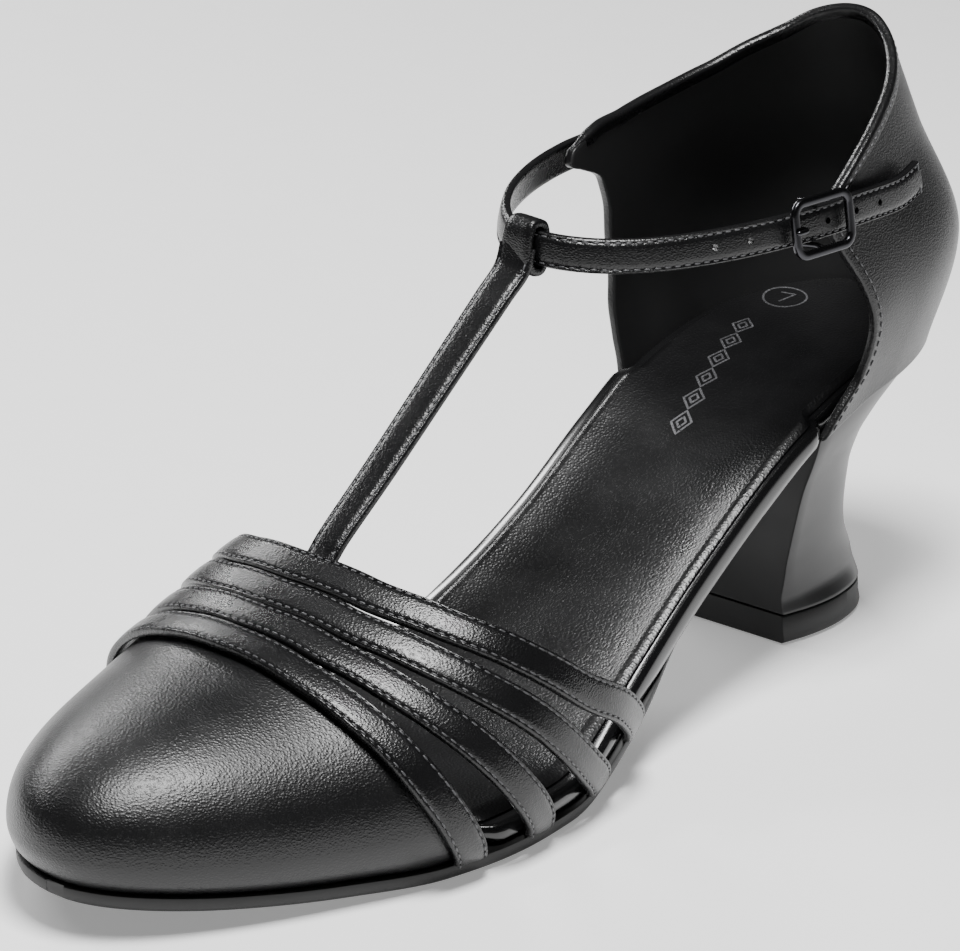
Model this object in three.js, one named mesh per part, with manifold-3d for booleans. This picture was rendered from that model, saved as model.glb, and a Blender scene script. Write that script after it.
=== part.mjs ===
// Left T-strap shoe with a flared heel: closed toe, four instep straps, open waist and closed back.
// Millimetres. The toe points along -Y, the outer side of the foot along +X and +Z is up.
// The origin is on the floor under the middle of the heel's tip, at the middle of its depth.
import * as THREE from "three";
import { mergeVertices } from "three/addons/utils/BufferGeometryUtils.js";
import Module from "manifold-3d";

const wasm = await Module();
wasm.setup();

// Driving sizes of the last
const LAST_LENGTH = 228;
const BALL_WIDTH = 78.8;
const SEAT_RISE = 48;
const SEAT_BACK = 37.4;
const SEAT_SHIFT = 2.1;
const SEAT_ROUND = 33.8;
const TOE_ROUND = 75.5;
const TOE_POWER = 2.14;
const HEEL_POWER = 2.1;
const INSTEP_HEIGHT = 62;
const TOE_TIP_ROUND = 36.5;
const TOE_TIP_POWER = 2.6;
const CREST_SHIFT = 3;
const SIDE_BULGE = 4.35;
const BACK_HEIGHT = 62;

// Walls and clearances
const CLEARANCE = 0.3;
const SOLE_THICKNESS = 3;
const WAIST_THICKNESS = 1.7;
const SOLE_MARGIN = 1;
const WAIST_INSET = 1.5;
const BOARD_THICKNESS = 2;
const RIM_HEIGHT = 3.6;
const SOCK_THICKNESS = 1.2;
const VAMP_WALL = 1.6;
const QUARTER_WALL = 1.8;

// Heel
const TIP_HEIGHT = 5.5;
const BREAST = 15.9;
const BREAST_HOLLOW = 2;

// Straps
const INSTEP_STRAP_WIDTH = 6.6;
const STRAP_THICKNESS = 1.7;
const T_STRAP_WIDTH = 6.4;
const T_STRAP_TOP_WIDTH = 8;
const T_STRAP_THICKNESS = 1.6;
const UNDERLAY_WIDTH = 5.8;
const UNDERLAY_THICKNESS = 1.2;
const STRAP_EASE = 0.25;
const LOOP_WALL = 1.4;
const LOOP_LENGTH = 8.4;
const ANKLE_STRAP_WIDTH = 6.3;
const ANKLE_STRAP_THICKNESS = 1.8;
const ANKLE_REACH = 107.6;
const ANKLE_HEIGHT = 88.8;
const ANKLE_CENTRE = 1;
const MEDIAL_HEIGHT = 93;
const STRAP_LEAN = 0.17;

// Buckle
const BUCKLE_LENGTH = 16;
const BUCKLE_HEIGHT = 11.4;
const BUCKLE_BAND = 1.7;
const BUCKLE_DEPTH = 1.4;
const BUCKLE_CORNER = 2.6;
const BAR_RADIUS = 0.7;
const TAB_WALL = 0.75;
const TAB_HEIGHT = 5;
const TAB_LENGTH = 7.8;
const PRONG_RADIUS = 0.5;

// Side view of the feather line: along is the share of the last's length from the back, rise of the seat's rise.
const PROFILE = [
  { along: 0.0, rise: 1.03 },
  { along: 0.08, rise: 1.0 },
  { along: 0.16, rise: 0.945 },
  { along: 0.24, rise: 0.835 },
  { along: 0.32, rise: 0.65 },
  { along: 0.4, rise: 0.44 },
  { along: 0.48, rise: 0.235 },
  { along: 0.56, rise: 0.075 },
  { along: 0.62, rise: 0.0 },
  { along: 0.69, rise: 0.0 },
  { along: 0.76, rise: 0.004 },
  { along: 0.84, rise: 0.025 },
  { along: 0.92, rise: 0.062 },
  { along: 1.0, rise: 0.111 },
];

// Plan of the feather line: half widths as shares of the ball width, before the round ends.
const OUTLINE = [
  { along: 0.0, lateral: 0.31, medial: 0.31 },
  { along: 0.1, lateral: 0.315, medial: 0.31 },
  { along: 0.2, lateral: 0.325, medial: 0.31 },
  { along: 0.3, lateral: 0.34, medial: 0.27 },
  { along: 0.4, lateral: 0.365, medial: 0.245 },
  { along: 0.5, lateral: 0.415, medial: 0.267 },
  { along: 0.6, lateral: 0.485, medial: 0.37 },
  { along: 0.68, lateral: 0.505, medial: 0.455 },
  { along: 0.76, lateral: 0.49, medial: 0.49 },
  { along: 0.84, lateral: 0.44, medial: 0.48 },
  { along: 1.0, lateral: 0.36, medial: 0.44 },
];

// Height of the crest over the feather line, as a share of the instep height.
const CREST = [
  { along: 0.5, high: 1.0 },
  { along: 0.6, high: 0.871 },
  { along: 0.68, high: 0.71 },
  { along: 0.76, high: 0.54 },
  { along: 0.84, high: 0.452 },
  { along: 0.92, high: 0.403 },
  { along: 1.0, high: 0.377 },
];

// Outward swell of the vamp's side, by share of the crest height.
const SWELL = [
  { up: 0.0, out: 0.0 },
  { up: 0.1, out: 0.46 },
  { up: 0.25, out: 0.75 },
  { up: 0.5, out: 0.85 },
  { up: 0.75, out: 0.62 },
  { up: 1.0, out: 0.0 },
];

// The back of the last by share of the back height: width gain and set-back in shares of the seat's round.
const BACK_SHAPE = [
  { up: 0.0, lateral: 0.0, medial: 0.0, back: 0.0, round: 1.0 },
  { up: 0.35, lateral: 0.12, medial: 0.1, back: 0.139, round: 1.0 },
  { up: 0.7, lateral: 0.0, medial: 0.02, back: -0.1, round: 1.28 },
  { up: 1.0, lateral: -0.08, medial: -0.06, back: -0.33, round: 1.52 },
];

// Share of the upper's seat that covers the board's edge: it is bare at the waist and between the straps.
const COVER = [
  { along: 0.0, share: 1 },
  { along: 0.245, share: 1 },
  { along: 0.34, share: 0 },
  { along: 0.705, share: 0 },
  { along: 0.727, share: 1 },
  { along: 1.0, share: 1 },
];

// Raised rim of the footbed, as a share of the rim height.
const RIM = [
  { along: 0.0, share: 0.3 },
  { along: 0.2, share: 0.4 },
  { along: 0.32, share: 1.0 },
  { along: 0.45, share: 1.0 },
  { along: 0.6, share: 0.5 },
  { along: 1.0, share: 0.2 },
];

// Topline of the quarter: height as a share of the back height, forward as a share of the seat's round.
const TOPLINE = [
  { forward: 0.0, lateral: 1.0, medial: 1.0 },
  { forward: 0.1, lateral: 0.965, medial: 0.975 },
  { forward: 0.25, lateral: 0.925, medial: 0.93 },
  { forward: 0.45, lateral: 0.885, medial: 0.895 },
  { forward: 0.75, lateral: 0.84, medial: 0.855 },
  { forward: 1.05, lateral: 0.795, medial: 0.845 },
  { forward: 1.4, lateral: 0.74, medial: 0.86 },
  { forward: 1.65, lateral: 0.71, medial: 0.9 },
  { forward: 1.98, lateral: 0.7, medial: 0.93 },
];

// Front edges of the quarter: forward as a share of the seat's round, by share of the height there.
const QUARTER_FRONT = [
  { up: 0.0, lateral: 1.6, medial: 1.59 },
  { up: 0.08, lateral: 1.52, medial: 1.62 },
  { up: 0.2, lateral: 1.4, medial: 1.69 },
  { up: 0.35, lateral: 1.42, medial: 1.75 },
  { up: 0.55, lateral: 1.48, medial: 1.74 },
  { up: 0.7, lateral: 1.51, medial: 1.69 },
  { up: 0.8, lateral: 1.53, medial: 1.71 },
  { up: 0.9, lateral: 1.54, medial: 1.86 },
  { up: 0.97, lateral: 1.53, medial: 1.97 },
  { up: 1.0, lateral: 1.49, medial: 1.92 },
];

// Heel sections: width as a share of the seat's half width, back as a share of the seat's set-back.
const HEEL = [
  { up: 0.0, wide: 0.79, back: 0.43, power: 3.4, front: 0.88 },
  { up: 0.1, wide: 0.73, back: 0.43, power: 3.0, front: 0.92 },
  { up: 0.25, wide: 0.728, back: 0.39, power: 2.6, front: 0.97 },
  { up: 0.4, wide: 0.756, back: 0.364, power: 2.6, front: 0.99 },
  { up: 0.55, wide: 0.797, back: 0.366, power: 2.6, front: 1.0 },
  { up: 0.7, wide: 0.854, back: 0.436, power: 2.6, front: 1.0 },
  { up: 0.82, wide: 0.92, back: 0.588, power: 2.6, front: 1.0 },
  { up: 0.92, wide: 0.97, back: 0.8, power: 2.6, front: 1.0 },
  { up: 1.0, wide: 1.0, back: 1.0, power: 2.6, front: 1.0 },
];

// Middle lines of the four instep straps: around is the share of the way from the outer to the inner foot.
const INSTEP_STRAPS = [
  { around: 0.0, first: 0.741, second: 0.668, third: 0.587, fourth: 0.527 },
  { around: 0.064, first: 0.757, second: 0.697, third: 0.636, fourth: 0.576 },
  { around: 0.143, first: 0.771, second: 0.722, third: 0.676, fourth: 0.632 },
  { around: 0.223, first: 0.78, second: 0.74, third: 0.704, fourth: 0.669 },
  { around: 0.318, first: 0.789, second: 0.755, third: 0.725, fourth: 0.697 },
  { around: 0.414, first: 0.794, second: 0.764, third: 0.737, fourth: 0.711 },
  { around: 0.5, first: 0.793, second: 0.764, third: 0.738, fourth: 0.713 },
  { around: 0.618, first: 0.784, second: 0.754, third: 0.729, fourth: 0.704 },
  { around: 0.7, first: 0.773, second: 0.742, third: 0.714, fourth: 0.688 },
  { around: 0.78, first: 0.762, second: 0.729, third: 0.696, fourth: 0.667 },
  { around: 1.0, first: 0.735, second: 0.69, third: 0.64, fourth: 0.59 },
];

// Rear edge of the closed toe, hidden under the first strap, by share of the way around.
const TOE_EDGE_TUCK = 0.004;

const vec = (x, y, z) => new THREE.Vector3(x, y, z);
const mix = (a, b, k) => a + (b - a) * k;
const clamp = (value) => Math.min(1, Math.max(0, value));
const ease = (value) => clamp(value) ** 2 * (3 - 2 * clamp(value));
const count = (total) => Array.from({ length: total }, (_, index) => index);

// Smooth curve through a table's column that never overshoots its rows.
function read(table, key, at, column) {
  const x = table.map((row) => row[key]);
  const y = table.map((row) => row[column]);
  const place = Math.min(x.at(-1), Math.max(x[0], at));
  const slopes = count(x.length - 1).map((i) => (y[i + 1] - y[i]) / (x[i + 1] - x[i]));
  const tangent = (i) => {
    if (i === 0 || i === x.length - 1) return slopes[Math.min(i, slopes.length - 1)];
    const [before, after] = [slopes[i - 1], slopes[i]];
    if (before * after <= 0) return 0;
    const first = 2 * (x[i + 1] - x[i]) + (x[i] - x[i - 1]);
    const second = (x[i + 1] - x[i]) + 2 * (x[i] - x[i - 1]);
    return (first + second) / (first / before + second / after);
  };
  const i = Math.min(x.length - 2, x.filter((value) => value <= place).length - 1);
  const step = x[i + 1] - x[i];
  const u = (place - x[i]) / step;
  const lower = (2 * u ** 3 - 3 * u ** 2 + 1) * y[i] + (u ** 3 - 2 * u ** 2 + u) * step * tangent(i);
  return lower + (3 * u ** 2 - 2 * u ** 3) * y[i + 1] + (u ** 3 - u ** 2) * step * tangent(i + 1);
}

// The last
const featherHeight = (along) => read(PROFILE, "along", along, "rise") * SEAT_RISE + SOLE_THICKNESS;
const featherY = (along) => SEAT_BACK - LAST_LENGTH * along;
const seatAxis = (along) => SEAT_SHIFT * ease((0.62 - along) / 0.42);

function roundEnd(distance, round, power) {
  return (1 - clamp(1 - distance / round) ** power) ** (1 / power);
}

function endFactor(along) {
  const toe = roundEnd(LAST_LENGTH * (1 - along), TOE_ROUND, TOE_POWER);
  return toe * roundEnd(LAST_LENGTH * along, SEAT_ROUND, HEEL_POWER);
}

// Point on the feather line moved inward by an inset; side is 1 on the outer side and -1 on the inner side.
function featherPoint(along, side, inset = 0) {
  const share = read(OUTLINE, "along", along, side > 0 ? "lateral" : "medial");
  const half = (share * BALL_WIDTH - inset) * endFactor(along);
  const shrunk = 0.5 + (along - 0.5) * (1 - (2 * inset) / LAST_LENGTH);
  return vec(seatAxis(along) + side * half, featherY(shrunk), featherHeight(shrunk));
}

// Outer face of the forepart: around runs from 0 at the outer feather to 1 at the inner feather.
function forepart(along, around) {
  const angle = Math.PI * around;
  const outer = featherPoint(along, 1);
  const inner = featherPoint(along, -1);
  const tip = roundEnd(LAST_LENGTH * (1 - along), TOE_TIP_ROUND, TOE_TIP_POWER);
  const crest = read(CREST, "along", along, "high") * INSTEP_HEIGHT * tip;
  const middle = seatAxis(along) - CREST_SHIFT * endFactor(along);
  const across = Math.sign(Math.cos(angle)) * Math.abs(Math.cos(angle)) ** 0.9;
  const up = clamp(Math.sin(angle)) ** 0.85;
  const reach = across >= 0 ? outer.x - middle : middle - inner.x;
  const swell = SIDE_BULGE * read(SWELL, "up", up * tip, "out");
  const outward = new THREE.Vector2(reach * across, Math.min(0, LAST_LENGTH * (1 - along) - TOE_ROUND));
  outward.normalize().multiplyScalar(swell);
  return vec(middle + reach * across + outward.x, outer.y + outward.y, outer.z + crest * up);
}

// Outer face of the back: forward is the distance from the back edge, up the height over the feather line.
function backpart(forward, up, side) {
  const share = up / BACK_HEIGHT;
  const column = side > 0 ? "lateral" : "medial";
  const along = forward / LAST_LENGTH;
  const round = SEAT_ROUND * read(BACK_SHAPE, "up", share, "round");
  const gain = SEAT_ROUND * read(BACK_SHAPE, "up", share, column);
  const half = (read(OUTLINE, "along", along, column) * BALL_WIDTH + gain) * roundEnd(forward, round, HEEL_POWER);
  const back = SEAT_BACK + SEAT_ROUND * read(BACK_SHAPE, "up", share, "back");
  return vec(seatAxis(along) + side * half, back - forward, featherHeight(along) + up);
}

// Solids
function toSolid(points, faces) {
  const loose = new THREE.BufferGeometry();
  loose.setAttribute("position", new THREE.Float32BufferAttribute(points.flatMap((p) => p.toArray()), 3));
  loose.setIndex(faces.flat());
  const merged = mergeVertices(loose, 1e-3);
  const index = merged.index.array;
  const kept = [];
  for (let i = 0; i < index.length; i += 3) {
    const [a, b, c] = [index[i], index[i + 1], index[i + 2]];
    if (a !== b && b !== c && c !== a) kept.push(a, b, c);
  }
  const place = merged.attributes.position;
  const corner = (i) => new THREE.Vector3().fromBufferAttribute(place, i);
  let volume = 0;
  for (let i = 0; i < kept.length; i += 3) {
    volume += corner(kept[i]).dot(corner(kept[i + 1]).cross(corner(kept[i + 2])));
  }
  if (volume < 0) kept.reverse();
  const mesh = new wasm.Mesh({
    numProp: 3,
    vertProperties: Float32Array.from(place.array),
    triVerts: Uint32Array.from(kept),
  });
  return new wasm.Manifold(mesh);
}

// Closed solid through rings whose points i and n - 1 - i lie opposite each other.
function loft(rings) {
  const size = rings[0].length;
  const faces = [];
  for (let r = 0; r < rings.length - 1; r += 1) {
    for (let i = 0; i < size; i += 1) {
      const [a, b] = [r * size + i, r * size + ((i + 1) % size)];
      faces.push([a, b, b + size], [a, b + size, a + size]);
    }
  }
  const last = (rings.length - 1) * size;
  for (let i = 0; i < size / 2 - 1; i += 1) {
    const [a, b, c, d] = [i, i + 1, size - 2 - i, size - 1 - i];
    faces.push([a, c, b], [a, d, c]);
    faces.push([last + a, last + b, last + c], [last + a, last + c, last + d]);
  }
  return toSolid(rings.flat(), faces);
}

// Hollow wall behind an open sheet of points, with its edges closed.
function wall(rows, thickness) {
  const columns = rows[0].length;
  const faces = [];
  for (let r = 0; r < rows.length - 1; r += 1) {
    for (let i = 0; i < columns - 1; i += 1) {
      const [a, b] = [r * columns + i, r * columns + i + 1];
      faces.push([a, b, b + columns], [a, b + columns, a + columns]);
    }
  }
  const sheet = new THREE.BufferGeometry();
  sheet.setAttribute("position", new THREE.Float32BufferAttribute(rows.flat().flatMap((p) => p.toArray()), 3));
  sheet.setIndex(faces.flat());
  const merged = mergeVertices(sheet, 1e-3);
  merged.computeVertexNormals();
  const place = merged.attributes.position;
  const normal = merged.attributes.normal;
  const outer = count(place.count).map((i) => new THREE.Vector3().fromBufferAttribute(place, i));
  const inner = outer.map((p, i) => {
    const behind = p.clone().addScaledVector(new THREE.Vector3().fromBufferAttribute(normal, i), -thickness);
    return behind.setZ(Math.max(behind.z, featherHeight((SEAT_BACK - behind.y) / LAST_LENGTH)));
  });
  const index = merged.index.array;
  const skin = [];
  const edges = new Map();
  for (let i = 0; i < index.length; i += 3) {
    const [a, b, c] = [index[i], index[i + 1], index[i + 2]];
    if (a !== b && b !== c && c !== a) {
      skin.push([a, b, c]);
      for (const [p, q] of [[a, b], [b, c], [c, a]]) edges.set(`${p},${q}`, [p, q]);
    }
  }
  const total = outer.length;
  const closed = skin.map(([a, b, c]) => [a, b, c]);
  for (const [a, b, c] of skin) closed.push([a + total, c + total, b + total]);
  for (const [p, q] of edges.values()) {
    if (!edges.has(`${q},${p}`)) closed.push([q, p, p + total], [q, p + total, q + total]);
  }
  return toSolid([...outer, ...inner], closed);
}

// Ribbon or rod: each station has a place, two directions and half sizes along them.
function ribbon(stations, section) {
  return loft(stations.map((station) => section.map(([a, b]) => {
    const point = station.at.clone().addScaledVector(station.across, a * station.half);
    return point.addScaledVector(station.out, b * station.depth);
  })));
}

// Section with eased outer edges, in shares of the half width and half thickness.
const RIBBON = [[1, -1], [1, 0.2], [0.78, 0.85], [0.3, 1], [-0.3, 1], [-0.78, 0.85], [-1, 0.2], [-1, -1]];
const SLAB = [[1, -1], [1, 1], [-1, 1], [-1, -1]];
const ROUND = count(8).map((i) => [Math.cos((Math.PI * (i + 0.5)) / 4), Math.sin((Math.PI * (i + 0.5)) / 4)]);

// Sole, board and insole
const SPAN = 40;
const stationsAlong = (from, to) => count(SPAN + 1).map((i) => mix(from, to, (1 - Math.cos((Math.PI * i) / SPAN)) / 2));
const BREAST_ALONG = (SEAT_BACK + BREAST) / LAST_LENGTH;

// Slab under the feather line between two depths below it, wider than the last by a margin.
function slab(start, margin, top, bottom) {
  return loft(stationsAlong(start, 1).map((along) => {
    const [outer, inner] = [featherPoint(along, 1, -margin(along)), featherPoint(along, -1, -margin(along))];
    const [high, low] = [outer.z - top, outer.z - bottom(along)];
    return [vec(outer.x, outer.y, low), vec(outer.x, outer.y, high), vec(inner.x, inner.y, high), vec(inner.x, inner.y, low)];
  }));
}

function outsole() {
  const open = (along) => 1 - ease((along - 0.42) / 0.1);
  const start = BREAST_ALONG + (1.3 * CLEARANCE) / LAST_LENGTH;
  const margin = (along) => mix(SOLE_MARGIN, -WAIST_INSET, open(along));
  return slab(start, margin, CLEARANCE, (along) => mix(SOLE_THICKNESS, WAIST_THICKNESS, open(along)));
}

// Room that the straps' feet are trimmed by, so that they end on the sole.
const footing = () => slab(BREAST_ALONG, () => SOLE_MARGIN + 3 * STRAP_THICKNESS, 0, () => INSTEP_STRAP_WIDTH);

const UPPER_SEAT = QUARTER_WALL + 2 * CLEARANCE;
const rimAt = (along) => RIM_HEIGHT * read(RIM, "along", along, "share");
const boardTop = (along, share) => BOARD_THICKNESS + rimAt(along) * Math.abs(share) ** 3;

const SOCK_SHARES = [0.86, 0.65, 0.3];

// The board and the sock stop short of the last's two ends, which close to a line.
const END_TRIM = 0.0015;
const SOCK_TOE = 0.93;

function boardRing(along) {
  const inset = UPPER_SEAT * read(COVER, "along", along, "share");
  const [outer, inner] = [featherPoint(along, 1, inset), featherPoint(along, -1, inset)];
  const point = (share, height) => vec(mix(inner.x, outer.x, (1 + share) / 2), outer.y, outer.z + height);
  const upper = [0.94, ...SOCK_SHARES];
  const half = [point(0.94, 0), point(1, boardTop(along, 1) / 2), ...upper.map((s) => point(s, boardTop(along, s)))];
  const other = [point(-0.94, 0), point(-1, boardTop(along, 1) / 2), ...upper.map((s) => point(-s, boardTop(along, s)))];
  return [...half, ...other.reverse()];
}

function sockRing(along) {
  const inset = UPPER_SEAT * read(COVER, "along", along, "share");
  const [outer, inner] = [featherPoint(along, 1, inset), featherPoint(along, -1, inset)];
  const point = (share, lift) => {
    return vec(mix(inner.x, outer.x, (1 + share) / 2), outer.y, outer.z + boardTop(along, share) + lift);
  };
  const shares = SOCK_SHARES.toReversed();
  const low = shares.map((s) => point(s, CLEARANCE + 0.05));
  const high = shares.map((s) => point(s, CLEARANCE + SOCK_THICKNESS)).reverse();
  const lowOther = shares.map((s) => point(-s, CLEARANCE + 0.05));
  const highOther = shares.map((s) => point(-s, CLEARANCE + SOCK_THICKNESS)).reverse();
  return [...low, ...high, ...highOther.reverse(), ...lowOther.reverse()];
}

// Heel and tip
const seatHalf = () => 0.3125 * BALL_WIDTH;

function heelRing(row, height) {
  const samples = 9;
  const half = seatHalf() * row.wide;
  const back = SEAT_BACK * row.back;
  const breast = [0.3, 0.7].map((share) => [share, -BREAST + BREAST_HOLLOW * (1 - share ** 2) * 4 * row.up * (1 - row.up)]);
  const bow = count(samples).map((i) => {
    const angle = (Math.PI / 2) * (i / (samples - 0.5));
    return [Math.cos(angle) ** (2 / row.power), mix(-BREAST, back, Math.sin(angle) ** (2 / row.power))];
  });
  const side = (sign) => [...breast, ...bow].map(([share, y]) => {
    const place = (y + BREAST) / (back + BREAST);
    const taper = mix(1, row.front, clamp(1 - 2 * place) ** 2);
    return vec(SEAT_SHIFT + sign * share * half * taper, y, height(mix(-BREAST, SEAT_BACK, place)));
  });
  return [...side(1), ...side(-1).reverse()];
}

function heel() {
  const base = TIP_HEIGHT + CLEARANCE;
  const seat = (y) => featherHeight((SEAT_BACK - y) / LAST_LENGTH) - CLEARANCE;
  const levels = 14;
  const rows = count(levels + 1).map((i) => {
    const up = i / levels;
    const [wide, back, power, front] = ["wide", "back", "power", "front"].map((key) => read(HEEL, "up", up, key));
    return { up, wide, back, power, front };
  });
  return loft(rows.map((row) => heelRing(row, (y) => mix(base, seat(y), row.up))));
}

function heelTip() {
  const row = (scale) => ({ ...HEEL[0], wide: HEEL[0].wide * scale, back: HEEL[0].back * scale });
  return loft([heelRing(row(0.97), () => 0), heelRing(row(1), () => 0.8), heelRing(row(1), () => TIP_HEIGHT)]);
}

// Shares of the way around the forepart, closer together near its feet.
const AROUND = count(27).map((i) => mix(i / 26, (1 - Math.cos((Math.PI * i) / 26)) / 2, 0.45));

// Upper
function toeCap() {
  const rows = 18;
  const edge = (around) => read(INSTEP_STRAPS, "around", around, "first") - TOE_EDGE_TUCK;
  return wall(count(rows + 1).map((r) => {
    const share = 1 - (1 - r / rows) ** 2.5;
    return AROUND.map((around) => forepart(mix(edge(around), 1, share), around));
  }), VAMP_WALL);
}

// Band that lies on the forepart along a column of the strap table, with its feet trimmed on the sole.
function instepStrap(name) {
  const nudge = 0.002;
  const bed = STRAP_THICKNESS / 2 + CLEARANCE + (name === "first" ? STRAP_EASE : 0);
  const path = (around) => forepart(read(INSTEP_STRAPS, "around", around, name), around);
  const stations = AROUND.map((around) => {
    const along = read(INSTEP_STRAPS, "around", around, name);
    const [before, after] = [Math.max(0, around - nudge), Math.min(1, around + nudge)];
    const back = forepart(along - nudge, around).sub(forepart(along + nudge, around));
    const out = back.cross(forepart(along, after).sub(forepart(along, before))).normalize();
    const run = path(after).sub(path(before)).normalize();
    const across = out.clone().cross(run).normalize();
    const at = path(around).addScaledVector(out, bed);
    return { at, run, across, out, half: INSTEP_STRAP_WIDTH / 2, depth: STRAP_THICKNESS / 2 };
  });
  const foot = (station, reach) => ({ ...station, at: station.at.clone().addScaledVector(station.run, reach) });
  const [first, last] = [foot(stations[0], -INSTEP_STRAP_WIDTH / 2), foot(stations.at(-1), INSTEP_STRAP_WIDTH / 2)];
  return ribbon([first, ...stations, last], RIBBON).subtract(footing());
}

// Ankle strap: from the inner side of the quarter round the instep to its loose tail on the outer side.
const NORMAL_STEP = 0.5;

function backNormal(forward, up, side) {
  const along = backpart(forward + NORMAL_STEP, up, side).sub(backpart(forward - NORMAL_STEP, up, side));
  const rise = backpart(forward, up + NORMAL_STEP, side).sub(backpart(forward, up - NORMAL_STEP, side));
  const normal = along.cross(rise).normalize();
  return normal.x * side < 0 ? normal.negate() : normal;
}

// Point on the back at a level over the floor, a lift outside its outer face.
function overQuarter(forward, level, side, lift) {
  const up = level - featherHeight(forward / LAST_LENGTH);
  return backpart(forward, up, side).addScaledVector(backNormal(forward, up, side).setZ(0).normalize(), lift);
}

const STRAP_LIFT = CLEARANCE + ANKLE_STRAP_THICKNESS / 2;
const ROOT_FORWARD = 1.62 * SEAT_ROUND;
const BUCKLE_LIFT = 2 * CLEARANCE + 2 * TAB_WALL + ANKLE_STRAP_THICKNESS / 2;
const EAR_FORWARD = 1.36 * SEAT_ROUND;
const TAIL_FORWARD = 0.77 * SEAT_ROUND;

function anklePath() {
  const front = SEAT_BACK - ANKLE_REACH;
  const root = overQuarter(ROOT_FORWARD, MEDIAL_HEIGHT, -1, STRAP_LIFT + CLEARANCE);
  const ear = overQuarter(EAR_FORWARD, ANKLE_HEIGHT, 1, BUCKLE_LIFT);
  const heel = overQuarter(mix(EAR_FORWARD, TAIL_FORWARD, 0.62), ANKLE_HEIGHT - 0.6, 1, STRAP_LIFT + 3 * CLEARANCE);
  const tail = overQuarter(TAIL_FORWARD, ANKLE_HEIGHT + 0.4, 1, STRAP_LIFT + 2.6 * CLEARANCE);
  const bend = (side, from, angle, level) => {
    const x = mix(ANKLE_CENTRE, from.x, Math.cos(angle) ** (side > 0 ? 0.94 : 1));
    return vec(x, mix(from.y, front, Math.sin(angle)), level);
  };
  const medial = [12, 28, 44, 58, 70, 81].map((degrees) => {
    const angle = THREE.MathUtils.degToRad(degrees);
    return bend(-1, root, angle, mix(ANKLE_HEIGHT + 0.6, MEDIAL_HEIGHT, Math.cos(angle) ** 2));
  });
  const lateral = [90, 80, 68, 55, 42, 30, 18, 8].map((degrees) => {
    return bend(1, ear, THREE.MathUtils.degToRad(degrees), ANKLE_HEIGHT + 0.6 * clamp((degrees - 60) / 30));
  });
  return new THREE.CatmullRomCurve3([root, ...medial, ...lateral, ear, heel, tail], false, "centripetal");
}

function stationOn(path, share, half, depth) {
  const at = path.getPointAt(share);
  const run = path.getTangentAt(share).setZ(0).normalize();
  const outward = vec(run.y, -run.x, 0);
  const across = vec(0, 0, 1).addScaledVector(outward, -STRAP_LEAN).normalize();
  return { at, across, out: run.clone().cross(across).normalize(), half, depth };
}

const ankle = anklePath();
const ankleLength = ankle.getLength();

// Share of the ankle path's length at which it comes nearest to a test value of y or x.
function shareWhere(test) {
  const shares = count(401).map((i) => i / 400);
  return shares.reduce((best, share) => (test(ankle.getPointAt(share)) < test(ankle.getPointAt(best)) ? share : best), 0);
}

const loopShare = shareWhere((p) => Math.abs(p.x - ANKLE_CENTRE + 1.5) + (p.y > featherY(0.4) ? LAST_LENGTH : 0));
const BUCKLE_AHEAD = 0.83;
const buckleY = overQuarter(EAR_FORWARD, ANKLE_HEIGHT, 1, 0).y - BUCKLE_LENGTH * BUCKLE_AHEAD;
const buckleShare = shareWhere((p) => Math.abs(p.y - buckleY) + (p.x < 0 ? LAST_LENGTH : 0));

function ankleStrap() {
  const steps = 56;
  return ribbon(count(steps + 1).map((i) => {
    return stationOn(ankle, i / steps, ANKLE_STRAP_WIDTH / 2, ANKLE_STRAP_THICKNESS / 2);
  }), RIBBON);
}

// Loop at the top of the T-strap: a sleeve round the ankle strap.
function sleeve(reach, lift) {
  const steps = 10;
  const half = reach / 2 / ankleLength;
  return ribbon(count(steps + 1).map((i) => {
    const share = mix(loopShare - half, loopShare + half, i / steps);
    return stationOn(ankle, share, ANKLE_STRAP_WIDTH / 2 + lift, ANKLE_STRAP_THICKNESS / 2 + lift);
  }), SLAB);
}

function loopSleeve() {
  return sleeve(LOOP_LENGTH, CLEARANCE + LOOP_WALL).subtract(sleeve(LOOP_LENGTH * 2, CLEARANCE));
}

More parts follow.
